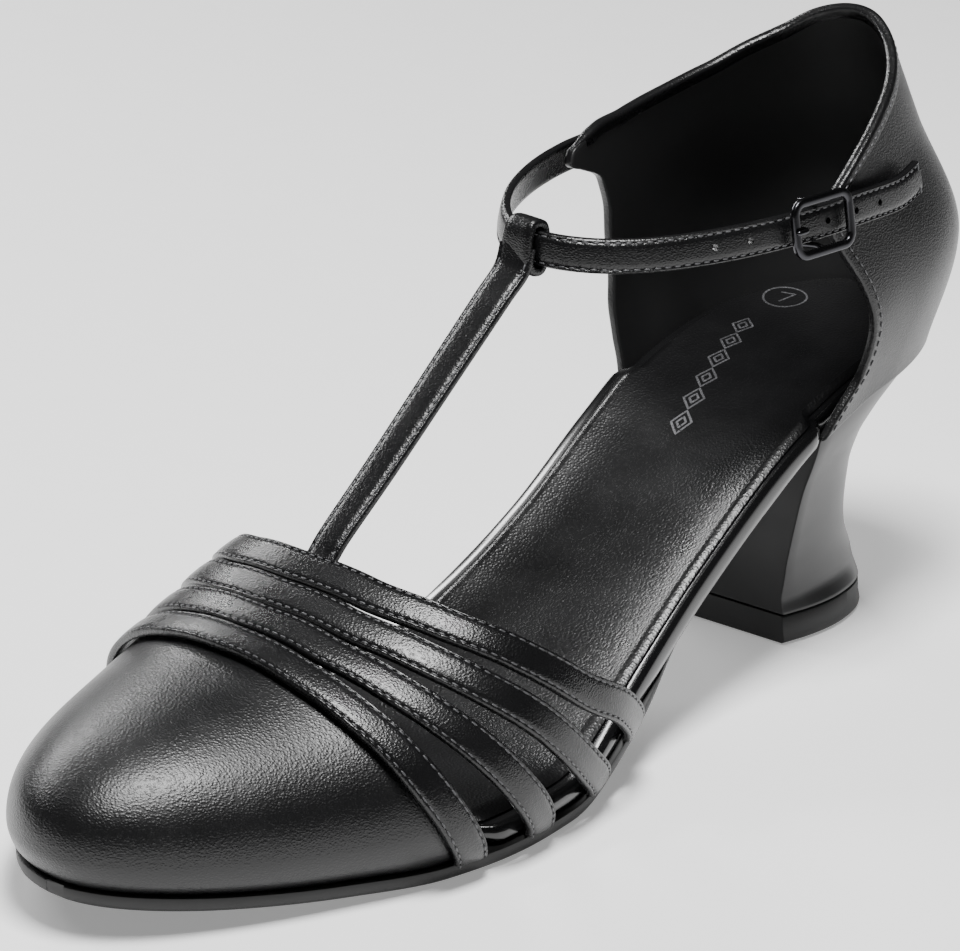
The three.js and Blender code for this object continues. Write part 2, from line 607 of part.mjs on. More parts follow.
// The T-strap runs under the instep straps as an underlay, leaves them at the fourth and rises to the loop.
function tStrap() {
  const edge = read(INSTEP_STRAPS, "around", 0.5, "first") - TOE_EDGE_TUCK - (4 * CLEARANCE) / LAST_LENGTH;
  const rear = read(INSTEP_STRAPS, "around", 0.5, "fourth") - (INSTEP_STRAP_WIDTH * 0.4) / LAST_LENGTH;
  const under = count(8).map((i) => {
    const along = mix(edge, rear, i / 7);
    const at = forepart(along, 0.5);
    const back = forepart(along - 0.005, 0.5).sub(forepart(along + 0.005, 0.5)).setX(0).normalize();
    const out = vec(0, -back.z, back.y);
    return { at, across: vec(1, 0, 0), out, half: UNDERLAY_WIDTH / 2, depth: UNDERLAY_THICKNESS / 2 };
  });
  const foot = under.at(-1);
  const top = stationOn(ankle, loopShare, 0, 0);
  const lift = ANKLE_STRAP_THICKNESS / 2 + CLEARANCE + LOOP_WALL - T_STRAP_THICKNESS / 2 + CLEARANCE;
  const end = top.at.clone().addScaledVector(top.out, lift);
  const knee = end.clone().add(vec(0, -1.6, -ANKLE_STRAP_WIDTH * 0.62));
  const path = new THREE.CatmullRomCurve3([
    foot.at, foot.at.clone().lerp(knee, 0.04).add(vec(0, 0, 0.5)), foot.at.clone().lerp(knee, 0.3),
    foot.at.clone().lerp(knee, 0.62), foot.at.clone().lerp(knee, 0.9), knee, end,
  ], false, "centripetal");
  const steps = 22;
  const rising = count(steps).map((i) => {
    const share = (i + 1) / steps;
    const run = path.getTangentAt(share);
    const out = vec(0, -run.z, run.y).normalize();
    const width = mix(T_STRAP_WIDTH, T_STRAP_TOP_WIDTH, share);
    const depth = mix(UNDERLAY_THICKNESS, T_STRAP_THICKNESS, ease(share * 6));
    return { at: path.getPointAt(share), across: vec(1, 0, 0), out, half: width / 2, depth: depth / 2 };
  });
  return ribbon([...under, ...rising], RIBBON);
}

function quarter() {
  const rows = 11;
  const columns = 16;
  const top = (forward, side) => {
    return BACK_HEIGHT * read(TOPLINE, "forward", forward / SEAT_ROUND, side > 0 ? "lateral" : "medial");
  };
  return wall(count(rows + 1).map((r) => {
    const share = r / rows;
    return count(2 * columns + 1).map((c) => {
      const turn = (columns - c) / columns;
      const side = turn > 0 ? 1 : -1;
      const front = SEAT_ROUND * read(QUARTER_FRONT, "up", share, side > 0 ? "lateral" : "medial");
      const forward = front * turn ** 2;
      return backpart(forward, share * top(forward, side), side);
    });
  }), QUARTER_WALL);
}

// Buckle: a rounded frame outside the strap, with its middle bar behind the strap.
const buckleAt = stationOn(ankle, buckleShare, 0, 0);
const buckleRun = ankle.getTangentAt(buckleShare).setZ(0).normalize();
const FRAME_LIFT = ANKLE_STRAP_THICKNESS / 2 + 2 * CLEARANCE + BUCKLE_DEPTH / 2;
const BAR_LIFT = -(ANKLE_STRAP_THICKNESS / 2 + 2 * CLEARANCE + TAB_WALL + BAR_RADIUS);

// Point in the buckle's own frame: run along the strap, rise up its width, lift away from the foot.
function onBuckle(run, rise, lift) {
  const point = buckleAt.at.clone().addScaledVector(buckleRun, run).addScaledVector(buckleAt.out, lift);
  return point.addScaledVector(buckleAt.across, rise);
}

function roundedShape(length, height, radius) {
  const shape = new THREE.Shape();
  const [a, b] = [length / 2, height / 2];
  shape.moveTo(-a + radius, -b);
  shape.lineTo(a - radius, -b);
  shape.absarc(a - radius, -b + radius, radius, -Math.PI / 2, 0);
  shape.lineTo(a, b - radius);
  shape.absarc(a - radius, b - radius, radius, 0, Math.PI / 2);
  shape.lineTo(-a + radius, b);
  shape.absarc(-a + radius, b - radius, radius, Math.PI / 2, Math.PI);
  shape.lineTo(-a, -b + radius);
  shape.absarc(-a + radius, -b + radius, radius, Math.PI, 1.5 * Math.PI);
  return shape;
}

function extrude(shape, depth, place) {
  const geometry = new THREE.ExtrudeGeometry(shape, { depth, bevelEnabled: false, curveSegments: 4 });
  const position = geometry.attributes.position;
  const points = count(position.count).map((i) => place(new THREE.Vector3().fromBufferAttribute(position, i)));
  const index = geometry.index ? Array.from(geometry.index.array) : count(position.count);
  return toSolid(points, count(index.length / 3).map((i) => index.slice(3 * i, 3 * i + 3)));
}

function rod(points, radius) {
  const path = new THREE.CatmullRomCurve3(points, false, "centripetal");
  const steps = points.length * 3;
  return ribbon(count(steps + 1).map((i) => {
    const run = path.getTangentAt(i / steps);
    const across = Math.abs(run.dot(buckleAt.across)) > 0.7 ? buckleRun.clone() : buckleAt.across.clone();
    const out = across.clone().cross(run).normalize();
    return { at: path.getPointAt(i / steps), across: run.clone().cross(out).normalize(), out, half: radius, depth: radius };
  }), ROUND);
}

function buckleFrame() {
  const ring = roundedShape(BUCKLE_LENGTH, BUCKLE_HEIGHT, BUCKLE_CORNER);
  const window = roundedShape(BUCKLE_LENGTH - 2 * BUCKLE_BAND, BUCKLE_HEIGHT - 2 * BUCKLE_BAND, BUCKLE_CORNER - BUCKLE_BAND / 2);
  ring.holes.push(new THREE.Path(window.getPoints(4).reverse()));
  const plate = extrude(ring, BUCKLE_DEPTH, (p) => onBuckle(p.x, p.y, FRAME_LIFT - BUCKLE_DEPTH / 2 + p.z));
  const leg = (BUCKLE_HEIGHT - BUCKLE_BAND) / 2;
  const posts = [-1, 1].map((side) => rod([onBuckle(0, side * leg, FRAME_LIFT), onBuckle(0, side * leg, 0),
    onBuckle(0, side * leg, BAR_LIFT - BAR_RADIUS)], BAR_RADIUS));
  const bar = rod([onBuckle(0, -leg, BAR_LIFT), onBuckle(0, 0, BAR_LIFT), onBuckle(0, leg, BAR_LIFT)], BAR_RADIUS);
  return posts.reduce((body, post) => body.add(post), plate).add(bar);
}

// Ring round the middle bar, in the plane across it.
function eye(inner, outer, height) {
  const shape = new THREE.Shape();
  shape.absarc(0, 0, outer, 0, 2 * Math.PI);
  const hole = new THREE.Path();
  hole.absarc(0, 0, inner, 0, 2 * Math.PI, true);
  shape.holes.push(hole);
  return extrude(shape, height, (p) => onBuckle(p.x, p.z - height / 2, BAR_LIFT + p.y));
}

function bucklePlate(from, to, low, high, height) {
  const shape = new THREE.Shape([new THREE.Vector2(from, low), new THREE.Vector2(to, low), new THREE.Vector2(to, high),
    new THREE.Vector2(from, high)]);
  return extrude(shape, height, (p) => onBuckle(p.x, p.z - height / 2, p.y));
}

const EYE_INNER = BAR_RADIUS + CLEARANCE;
const EYE_OUTER = EYE_INNER + TAB_WALL;
const PRONG_SLOT = PRONG_RADIUS + CLEARANCE + 0.15;
const PRONG_HOLE = -BUCKLE_LENGTH * 0.3;

// The prong pivots on the bar, passes the strap's hole and rests on the front of the frame.
function prong(margin) {
  const rest = FRAME_LIFT + BUCKLE_DEPTH / 2 + CLEARANCE + PRONG_RADIUS;
  const edge = -BUCKLE_LENGTH / 2;
  const arm = rod([onBuckle(-EYE_INNER - 0.3, 0, BAR_LIFT + 0.2), onBuckle(PRONG_HOLE + 1, 0, -ANKLE_STRAP_THICKNESS / 2 - 0.2),
    onBuckle(PRONG_HOLE, 0, ANKLE_STRAP_THICKNESS / 2 + 0.1), onBuckle(edge + BUCKLE_BAND + 0.5, 0, rest - 0.1),
    onBuckle(edge + BUCKLE_BAND / 2, 0, rest + 0.1), onBuckle(edge - 0.6, 0, rest)], PRONG_RADIUS + margin);
  return arm.add(eye(EYE_INNER - margin, EYE_OUTER - 0.1 + margin, 2 * (PRONG_RADIUS + margin)));
}

// Tab folded round the bar, with its tongue on the quarter and a slot for the prong.
function buckleTab() {
  const low = EYE_OUTER - 2 * TAB_WALL;
  const fold = new THREE.Shape();
  fold.moveTo(TAB_LENGTH, low);
  fold.lineTo(TAB_LENGTH, EYE_OUTER);
  fold.absarc(0, 0, EYE_OUTER, Math.PI / 2, 2 * Math.PI + Math.asin(low / EYE_OUTER));
  const hole = new THREE.Path();
  hole.absarc(0, 0, EYE_INNER, 0, 2 * Math.PI, true);
  fold.holes.push(hole);
  const body = extrude(fold, TAB_HEIGHT, (p) => onBuckle(p.x, p.z - TAB_HEIGHT / 2, BAR_LIFT + p.y));
  const [under, over] = [BAR_LIFT - 2 * EYE_OUTER, BAR_LIFT + 2 * EYE_OUTER];
  return body.subtract(bucklePlate(-2 * EYE_OUTER, 1.3 * EYE_OUTER, under, over, 2 * PRONG_SLOT));
}

const group = new THREE.Group();
const wallFinish = { roughness: 0.45, metalness: 0 };

function add(name, solid, colour, finish = wallFinish) {
  const mesh = solid.getMesh();
  const geometry = new THREE.BufferGeometry();
  geometry.setAttribute("position", new THREE.Float32BufferAttribute(mesh.vertProperties, 3));
  geometry.setIndex(Array.from(mesh.triVerts));
  const piece = new THREE.Mesh(geometry, new THREE.MeshStandardMaterial({ color: colour, ...finish }));
  piece.name = name;
  group.add(piece);
}

add("outsole", outsole(), 0x232325);
add("insole_board", loft(stationsAlong(END_TRIM, 1 - END_TRIM).map(boardRing)), 0x2b2b2d);
add("insole", loft(stationsAlong(4 * END_TRIM, SOCK_TOE).map(sockRing)), 0x303033);
add("heel", heel(), 0x262628);
add("heel_tip", heelTip(), 0x1d1d1e);
add("vamp", toeCap(), 0x2a2a2c);
const strapPieces = ["first", "second", "third", "fourth"].map(instepStrap);
add("t_strap_and_instep_straps", strapPieces.reduce((body, piece) => body.add(piece), tStrap().add(loopSleeve())), 0x2a2a2c);
add("quarter", quarter(), 0x29292b);
add("ankle_strap", ankleStrap().subtract(prong(CLEARANCE)), 0x2c2c2e);
const metal = { roughness: 0.3, metalness: 0.9 };
add("buckle_frame", buckleFrame(), 0x55555a, metal);
add("buckle_prong", prong(0), 0x55555a, metal);
add("buckle_tab", buckleTab(), 0x2c2c2e);

export default group;
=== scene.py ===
"""Left T-strap shoe: the finished look of every piece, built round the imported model.

Sizes in the classes are millimetres in the model's own frame (toe along -Y, outer side along +X, floor at
z = 0). Meshes are written in metres, with their objects at the origin.
"""

import logging
import math
from collections.abc import Callable, Sequence
from dataclasses import dataclass, field, replace
from enum import Enum

import bmesh
import bpy
import numpy as np
from mathutils import Matrix, Vector


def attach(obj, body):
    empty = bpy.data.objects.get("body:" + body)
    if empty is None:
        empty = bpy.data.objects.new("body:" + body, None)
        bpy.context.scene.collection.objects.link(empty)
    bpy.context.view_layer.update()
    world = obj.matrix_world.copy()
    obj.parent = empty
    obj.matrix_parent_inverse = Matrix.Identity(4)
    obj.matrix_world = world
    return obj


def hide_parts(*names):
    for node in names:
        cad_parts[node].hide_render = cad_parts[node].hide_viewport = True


LOG = logging.getLogger("t_strap_shoe")
MM = 0.001
Array = np.ndarray

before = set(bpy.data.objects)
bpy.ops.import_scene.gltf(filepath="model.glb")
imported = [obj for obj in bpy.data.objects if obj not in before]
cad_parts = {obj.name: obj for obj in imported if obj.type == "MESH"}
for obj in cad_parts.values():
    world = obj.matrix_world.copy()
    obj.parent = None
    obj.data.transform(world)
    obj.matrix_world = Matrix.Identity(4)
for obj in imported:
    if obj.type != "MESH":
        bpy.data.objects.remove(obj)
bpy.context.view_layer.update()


def unit(vectors: Array) -> Array:
    """Vectors scaled to length one."""
    return vectors / np.maximum(np.linalg.norm(vectors, axis=-1, keepdims=True), 1e-9)


def mix(a: Array | float, b: Array | float, share: Array | float) -> Array | float:
    """Value a share of the way from a to b."""
    return a + (b - a) * share


def ease(value: Array | float) -> Array | float:
    """Smooth step from 0 to 1."""
    held = np.clip(value, 0.0, 1.0)
    return held**2 * (3 - 2 * held)


@dataclass(frozen=True)
class Table:
    """Smooth curves through the columns of a table, which never overshoot its rows."""

    columns: tuple[str, ...]
    rows: tuple[tuple[float, ...], ...]

    def read(self, at: Array | float, column: str) -> Array:
        """Read one column.

        Args:
            at: places in the units of the first column.
            column: name of the column.

        Returns:
            The column's value at each place.
        """
        data = np.array(self.rows)
        x, y = data[:, 0], data[:, self.columns.index(column)]
        step = np.diff(x)
        slope = np.diff(y) / step
        tangent = np.zeros(len(x))
        tangent[0], tangent[-1] = slope[0], slope[-1]
        before, after = slope[:-1], slope[1:]
        same = before * after > 0
        first, second = 2 * step[1:] + step[:-1], step[1:] + 2 * step[:-1]
        safe_before, safe_after = np.where(same, before, 1.0), np.where(same, after, 1.0)
        tangent[1:-1] = np.where(same, (first + second) / (first / safe_before + second / safe_after), 0.0)
        place = np.clip(np.asarray(at, float), x[0], x[-1])
        i = np.clip(np.searchsorted(x, place, side="right") - 1, 0, len(x) - 2)
        u = (place - x[i]) / step[i]
        value = (2 * u**3 - 3 * u**2 + 1) * y[i] + (u**3 - 2 * u**2 + u) * step[i] * tangent[i]
        return value + (3 * u**2 - 2 * u**3) * y[i + 1] + (u**3 - u**2) * step[i] * tangent[i + 1]


PROFILE = Table(("along", "rise"), (
    (0.0, 1.03), (0.08, 1.0), (0.16, 0.945), (0.24, 0.835), (0.32, 0.65), (0.4, 0.44), (0.48, 0.235),
    (0.56, 0.075), (0.62, 0.0), (0.69, 0.0), (0.76, 0.004), (0.84, 0.025), (0.92, 0.062), (1.0, 0.111),
))
OUTLINE = Table(("along", "lateral", "medial"), (
    (0.0, 0.31, 0.31), (0.1, 0.315, 0.31), (0.2, 0.325, 0.31), (0.3, 0.34, 0.27), (0.4, 0.365, 0.245),
    (0.5, 0.415, 0.267), (0.6, 0.485, 0.37), (0.68, 0.505, 0.455), (0.76, 0.49, 0.49), (0.84, 0.44, 0.48),
    (1.0, 0.36, 0.44),
))
CREST = Table(("along", "high"), (
    (0.5, 1.0), (0.6, 0.871), (0.68, 0.71), (0.76, 0.54), (0.84, 0.452), (0.92, 0.403), (1.0, 0.377),
))
SWELL = Table(("up", "out"), ((0.0, 0.0), (0.1, 0.46), (0.25, 0.75), (0.5, 0.85), (0.75, 0.62), (1.0, 0.0)))
BACK_SHAPE = Table(("up", "lateral", "medial", "back", "round"), (
    (0.0, 0.0, 0.0, 0.0, 1.0), (0.35, 0.12, 0.1, 0.139, 1.0), (0.7, 0.0, 0.02, -0.1, 1.28),
    (1.0, -0.08, -0.06, -0.33, 1.52),
))
COVER = Table(("along", "share"), (
    (0.0, 1.0), (0.226, 1.0), (0.246, 0.0), (0.705, 0.0), (0.727, 1.0), (1.0, 1.0),
))
RIM = Table(("along", "share"), ((0.0, 0.3), (0.2, 0.4), (0.32, 1.0), (0.45, 1.0), (0.6, 0.5), (1.0, 0.2)))
TOPLINE = Table(("forward", "lateral", "medial"), (
    (0.0, 1.0, 1.0), (0.1, 0.965, 0.975), (0.25, 0.925, 0.93), (0.45, 0.885, 0.895), (0.75, 0.84, 0.855),
    (1.05, 0.795, 0.845), (1.4, 0.74, 0.86), (1.65, 0.71, 0.9), (1.98, 0.7, 0.93),
))
QUARTER_FRONT = Table(("up", "lateral", "medial"), (
    (0.0, 1.6, 1.59), (0.08, 1.52, 1.62), (0.2, 1.4, 1.69), (0.35, 1.42, 1.75), (0.55, 1.48, 1.74),
    (0.7, 1.51, 1.69), (0.8, 1.53, 1.71), (0.9, 1.54, 1.86), (0.97, 1.53, 1.97), (1.0, 1.49, 1.92),
))
HEEL_SECTIONS = Table(("up", "wide", "back", "power", "front"), (
    (0.0, 0.79, 0.43, 3.4, 0.88), (0.1, 0.73, 0.43, 3.0, 0.92), (0.25, 0.728, 0.39, 2.6, 0.97),
    (0.4, 0.756, 0.364, 2.6, 0.99), (0.55, 0.797, 0.366, 2.6, 1.0), (0.7, 0.854, 0.436, 2.6, 1.0),
    (0.82, 0.92, 0.588, 2.6, 1.0), (0.92, 0.97, 0.8, 2.6, 1.0), (1.0, 1.0, 1.0, 2.6, 1.0),
))
INSTEP_STRAPS = Table(("around", "first", "second", "third", "fourth"), (
    (0.0, 0.741, 0.668, 0.587, 0.527), (0.064, 0.757, 0.697, 0.636, 0.576), (0.143, 0.771, 0.722, 0.676, 0.632),
    (0.223, 0.78, 0.74, 0.704, 0.669), (0.318, 0.789, 0.755, 0.725, 0.697), (0.414, 0.794, 0.764, 0.737, 0.711),
    (0.5, 0.793, 0.764, 0.738, 0.713), (0.618, 0.784, 0.754, 0.729, 0.704), (0.7, 0.773, 0.742, 0.714, 0.688),
    (0.78, 0.762, 0.729, 0.696, 0.667), (1.0, 0.735, 0.69, 0.64, 0.59),
))


@dataclass(frozen=True)
class Last:
    """Form that the whole shoe is worked out from."""

    length: float = 228.0
    ball_width: float = 78.8
    seat_rise: float = 48.0
    seat_back: float = 37.4
    seat_shift: float = 2.1
    seat_round: float = 33.8
    toe_round: float = 75.5
    toe_power: float = 2.14
    heel_power: float = 2.1
    instep_height: float = 62.0
    tip_round: float = 36.5
    tip_power: float = 2.6
    crest_shift: float = 3.0
    side_bulge: float = 4.35
    back_height: float = 62.0
    sole: float = 3.0

    def height(self, along: Array | float) -> Array:
        """Height of the feather line over the floor."""
        return PROFILE.read(along, "rise") * self.seat_rise + self.sole

    def back_y(self, along: Array | float) -> Array:
        """Y of a station along the last."""
        return self.seat_back - self.length * np.asarray(along, float)

    def axis(self, along: Array | float) -> Array:
        """X of the last's middle at a station."""
        return self.seat_shift * ease((0.62 - np.asarray(along, float)) / 0.42)

    @staticmethod
    def round_end(distance: Array | float, radius: Array | float, power: float) -> Array:
        """Share of full width near a round end."""
        return (1 - np.clip(1 - distance / radius, 0, 1) ** power) ** (1 / power)

    def end_factor(self, along: Array | float) -> Array:
        """Share of full width from both round ends."""
        place = np.asarray(along, float)
        toe = self.round_end(self.length * (1 - place), self.toe_round, self.toe_power)
        return toe * self.round_end(self.length * place, self.seat_round, self.heel_power)

    def feather(self, along: Array | float, side: Array | float, inset: Array | float = 0.0) -> Array:
        """Points on the feather line, moved inward by an inset.

        Args:
            along: share of the last's length from the back.
            side: 1 on the outer side, -1 on the inner side, and any share between them.
            inset: distance inward.

        Returns:
            Points, in millimetres.
        """
        along, side, inset = np.broadcast_arrays(
            np.asarray(along, float), np.asarray(side, float), np.asarray(inset, float))
        ends = self.end_factor(along)
        outer = (OUTLINE.read(along, "lateral") * self.ball_width - inset) * ends
        inner = (OUTLINE.read(along, "medial") * self.ball_width - inset) * ends
        shrunk = 0.5 + (along - 0.5) * (1 - 2 * inset / self.length)
        x = self.axis(along) + mix(-inner, outer, (1 + side) / 2)
        return np.stack([x, self.back_y(shrunk), self.height(shrunk)], -1)

    def forepart(self, along: Array | float, around: Array | float) -> Array:
        """Points on the upper's outer face over the toes and instep.

        Args:
            along: share of the last's length from the back.
            around: 0 at the outer feather line, 1 at the inner one.

        Returns:
            Points, in millimetres.
        """
        along, around = np.broadcast_arrays(np.asarray(along, float), np.asarray(around, float))
        angle = np.pi * around
        outer, inner = self.feather(along, 1.0), self.feather(along, -1.0)
        tip = self.round_end(self.length * (1 - along), self.tip_round, self.tip_power)
        crest = CREST.read(along, "high") * self.instep_height * tip
        middle = self.axis(along) - self.crest_shift * self.end_factor(along)
        across = np.sign(np.cos(angle)) * np.abs(np.cos(angle)) ** 0.9
        up = np.clip(np.sin(angle), 0, 1) ** 0.85
        reach = np.where(across >= 0, outer[..., 0] - middle, middle - inner[..., 0])
        swell = self.side_bulge * SWELL.read(up * tip, "out")
        ahead = np.minimum(0.0, self.length * (1 - along) - self.toe_round)
        outward = unit(np.stack([reach * across, ahead], -1)) * swell[..., None]
        x = middle + reach * across + outward[..., 0]
        return np.stack([x, outer[..., 1] + outward[..., 1], outer[..., 2] + crest * up], -1)

    def forepart_frame(self, along: Array, around: Array) -> tuple[Array, Array]:
        """Points on the forepart and their outward normals."""
        nudge = 0.002
        back = self.forepart(along - nudge, around) - self.forepart(np.minimum(along + nudge, 1), around)
        turn = self.forepart(along, np.minimum(around + nudge, 1)) - self.forepart(along, np.maximum(around - nudge, 0))
        return self.forepart(along, around), unit(np.cross(back, turn))

    def backpart(self, forward: Array | float, up: Array | float, side: Array | float) -> Array:
        """Points on the upper's outer face round the heel.

        Args:
            forward: distance from the back edge.
            up: height over the feather line.
            side: 1 on the outer side, -1 on the inner side.

        Returns:
            Points, in millimetres.
        """
        forward, up, side = np.broadcast_arrays(
            np.asarray(forward, float), np.asarray(up, float), np.asarray(side, float))
        share, along = up / self.back_height, forward / self.length
        radius = self.seat_round * BACK_SHAPE.read(share, "round")
        lateral = OUTLINE.read(along, "lateral") * self.ball_width + self.seat_round * BACK_SHAPE.read(share, "lateral")
        medial = OUTLINE.read(along, "medial") * self.ball_width + self.seat_round * BACK_SHAPE.read(share, "medial")
        half = np.where(side > 0, lateral, medial) * self.round_end(forward, radius, self.heel_power)
        back = self.seat_back + self.seat_round * BACK_SHAPE.read(share, "back")
        return np.stack([self.axis(along) + side * half, back - forward, self.height(along) + up], -1)

    def over_quarter(self, forward: float, level: float, side: int, lift: float) -> Array:
        """Point at a level over the floor, a lift outside the back's outer face."""
        up, step = level - float(self.height(forward / self.length)), 0.5
        run = self.backpart(forward + step, up, side) - self.backpart(forward - step, up, side)
        rise = self.backpart(forward, up + step, side) - self.backpart(forward, up - step, side)
        normal = np.cross(run, rise)
        normal[2] = 0.0
        normal = unit(normal)
        return self.backpart(forward, up, side) + normal * lift * (-1 if normal[0] * side < 0 else 1)


LAST = Last()


class Path:
    """Smooth centripetal curve through points, read by distance along it."""

    def __init__(self, knots: Sequence[Sequence[float]], samples: int = 60) -> None:
        """Sample the curve.

        Args:
            knots: points that it passes.
            samples: samples between two knots.
        """
        p = np.array(knots, float)
        p = np.vstack([2 * p[0] - p[1], p, 2 * p[-1] - p[-2]])
        pieces = []
        for a, b, c, d in zip(p[:-3], p[1:-2], p[2:-1], p[3:]):
            before, here, after = (math.sqrt(max(np.linalg.norm(q), 1e-6)) for q in (b - a, c - b, d - c))
            first = ((b - a) / before - (c - a) / (before + here) + (c - b) / here) * here
            second = ((c - b) / here - (d - b) / (here + after) + (d - c) / after) * here
            u = np.linspace(0, 1, samples, endpoint=False)[:, None]
            piece = (2 * u**3 - 3 * u**2 + 1) * b + (u**3 - 2 * u**2 + u) * first
            pieces.append(piece + (3 * u**2 - 2 * u**3) * c + (u**3 - u**2) * second)
        self.points = np.vstack([*pieces, p[-2][None]])
        self.marks = np.r_[0, np.cumsum(np.linalg.norm(np.diff(self.points, axis=0), axis=1))]
        self.length = float(self.marks[-1])

    def at(self, distance: Array | float) -> Array:
        """Points at distances along the curve."""
        return np.stack([np.interp(distance, self.marks, self.points[:, k]) for k in range(3)], -1)

    def run(self, distance: Array | float) -> Array:
        """Unit directions at distances along the curve."""
        reach = 0.6
        ahead = self.at(np.minimum(np.asarray(distance) + reach, self.length))
        return unit(ahead - self.at(np.maximum(np.asarray(distance) - reach, 0.0)))

    def nearest(self, test: Callable[[Array], Array]) -> float:
        """Distance at which a test of the points is least."""
        return float(self.marks[int(np.argmin(test(self.points)))])


# ---------------------------------------------------------------- finishes


def linear(colour: str) -> tuple[float, float, float, float]:
    """Linear colour of an sRGB hex value such as "#1a1a1c"."""
    parts = [int(colour[i:i + 2], 16) / 255 for i in (1, 3, 5)]
    curve = [p / 12.92 if p <= 0.04045 else ((p + 0.055) / 1.055) ** 2.4 for p in parts]
    return curve[0], curve[1], curve[2], 1.0


def node(tree: bpy.types.NodeTree, kind: str, inputs: dict[str | int, object] | None = None,
         **settings: object) -> bpy.types.Node:
    """Add a node with its settings and links.

    Args:
        tree: the node tree.
        kind: the node's type.
        inputs: a value for each named input, or an output socket to link to it.
        settings: attributes of the node.

    Returns:
        The new node.
    """
    made = tree.nodes.new(kind)
    for name, value in settings.items():
        setattr(made, name, value)
    for name, value in (inputs or {}).items():
        if isinstance(value, bpy.types.NodeSocket):
            tree.links.new(value, made.inputs[name])
        else:
            made.inputs[name].default_value = value
    return made


class Grain(Enum):
    """How a surface was embossed or moulded."""

    HAIR_CELL = "creased cells of embossed synthetic leather"
    PEBBLE = "round pebbles of a sock sheet"
    MATTE = "fine even texture of a moulded or cut resin"
    SATIN = "nearly smooth plating or film"


@dataclass(frozen=True)
class Finish:
    """One surface of the real shoe. Lengths are millimetres."""

    name: str
    colour: str
    tint: str
    roughness: float
    rough_spread: float = 0.06
    metallic: float = 0.0
    ior: float = 1.5
    coat: float = 0.0
    coat_roughness: float = 0.1
    grain: Grain = Grain.SATIN
    cell: float = 0.5
    depth: float = 0.02
    stretch: tuple[float, float, float] = (1.0, 1.0, 1.0)

    def relief(self, tree: bpy.types.NodeTree, place: bpy.types.NodeSocket) -> bpy.types.NodeSocket:
        """Height of the surface's texture.

        Args:
            tree: the material's node tree.
            place: coordinates in millimetres.

        Returns:
            Socket of the height, from 0 to 1.
        """
        wander = node(tree, "ShaderNodeTexNoise", {"Vector": place, "Scale": 0.55 / self.cell, "Detail": 2.0})
        pushed = node(tree, "ShaderNodeVectorMath", {0: wander.outputs["Color"], 1: (self.cell * 0.6,) * 3},
                      operation="MULTIPLY")
        moved = node(tree, "ShaderNodeVectorMath", {0: place, 1: pushed.outputs[0]}, operation="ADD")
        fine = node(tree, "ShaderNodeTexNoise", {"Vector": place, "Scale": 1.6 / self.cell, "Detail": 4.0,
                                                 "Roughness": 0.6})
        if self.grain in (Grain.MATTE, Grain.SATIN):
            return fine.outputs["Fac"]
        cells = node(tree, "ShaderNodeTexVoronoi", {"Vector": moved.outputs[0], "Scale": 1 / self.cell,
                                                    "Smoothness": 0.2}, feature="SMOOTH_F1")
        dome = node(tree, "ShaderNodeMapRange", {"Value": cells.outputs["Distance"], "From Min": 0.05,
                                                 "From Max": 0.62, "To Min": 1.0, "To Max": 0.0})
        share = 0.3 if self.grain is Grain.PEBBLE else 0.5
        mixed = node(tree, "ShaderNodeMix", {"Factor": share, "A": dome.outputs[0], "B": fine.outputs["Fac"]})
        return mixed.outputs[0]

    def material(self) -> bpy.types.Material:
        """The finish as a Blender material."""
        made = bpy.data.materials.new(self.name)
        made.use_nodes = True
        tree = made.node_tree
        tree.nodes.clear()
        spot = node(tree, "ShaderNodeTexCoord")
        scaled = node(tree, "ShaderNodeMapping", {"Vector": spot.outputs["Object"],
                                                  "Scale": tuple(s / MM for s in self.stretch)})
        place = scaled.outputs[0]
        height = self.relief(tree, place)
        bump = node(tree, "ShaderNodeBump", {"Height": height, "Strength": 1.0, "Distance": self.depth * MM})
        broad = node(tree, "ShaderNodeTexNoise", {"Vector": place, "Scale": 0.09, "Detail": 3.0})
        tone = node(tree, "ShaderNodeMix", {"Factor": broad.outputs["Fac"], "A": linear(self.colour),
                                            "B": linear(self.tint)}, data_type="RGBA")
        for key, value in (("A", self.colour), ("B", self.tint)):
            [s for s in tone.inputs if s.name == key and s.type == "RGBA"][0].default_value = linear(value)
        rough = node(tree, "ShaderNodeMapRange", {
            "Value": broad.outputs["Fac"], "From Min": 0.3, "From Max": 0.7,
            "To Min": self.roughness - self.rough_spread / 2, "To Max": self.roughness + self.rough_spread / 2})
        shader = node(tree, "ShaderNodeBsdfPrincipled", {
            "Base Color": [s for s in tone.outputs if s.type == "RGBA"][0], "Roughness": rough.outputs[0],
            "Normal": bump.outputs[0], "Metallic": self.metallic, "IOR": self.ior,
            "Coat Weight": self.coat, "Coat Roughness": self.coat_roughness})
        node(tree, "ShaderNodeOutputMaterial", {"Surface": shader.outputs[0]})
        return made


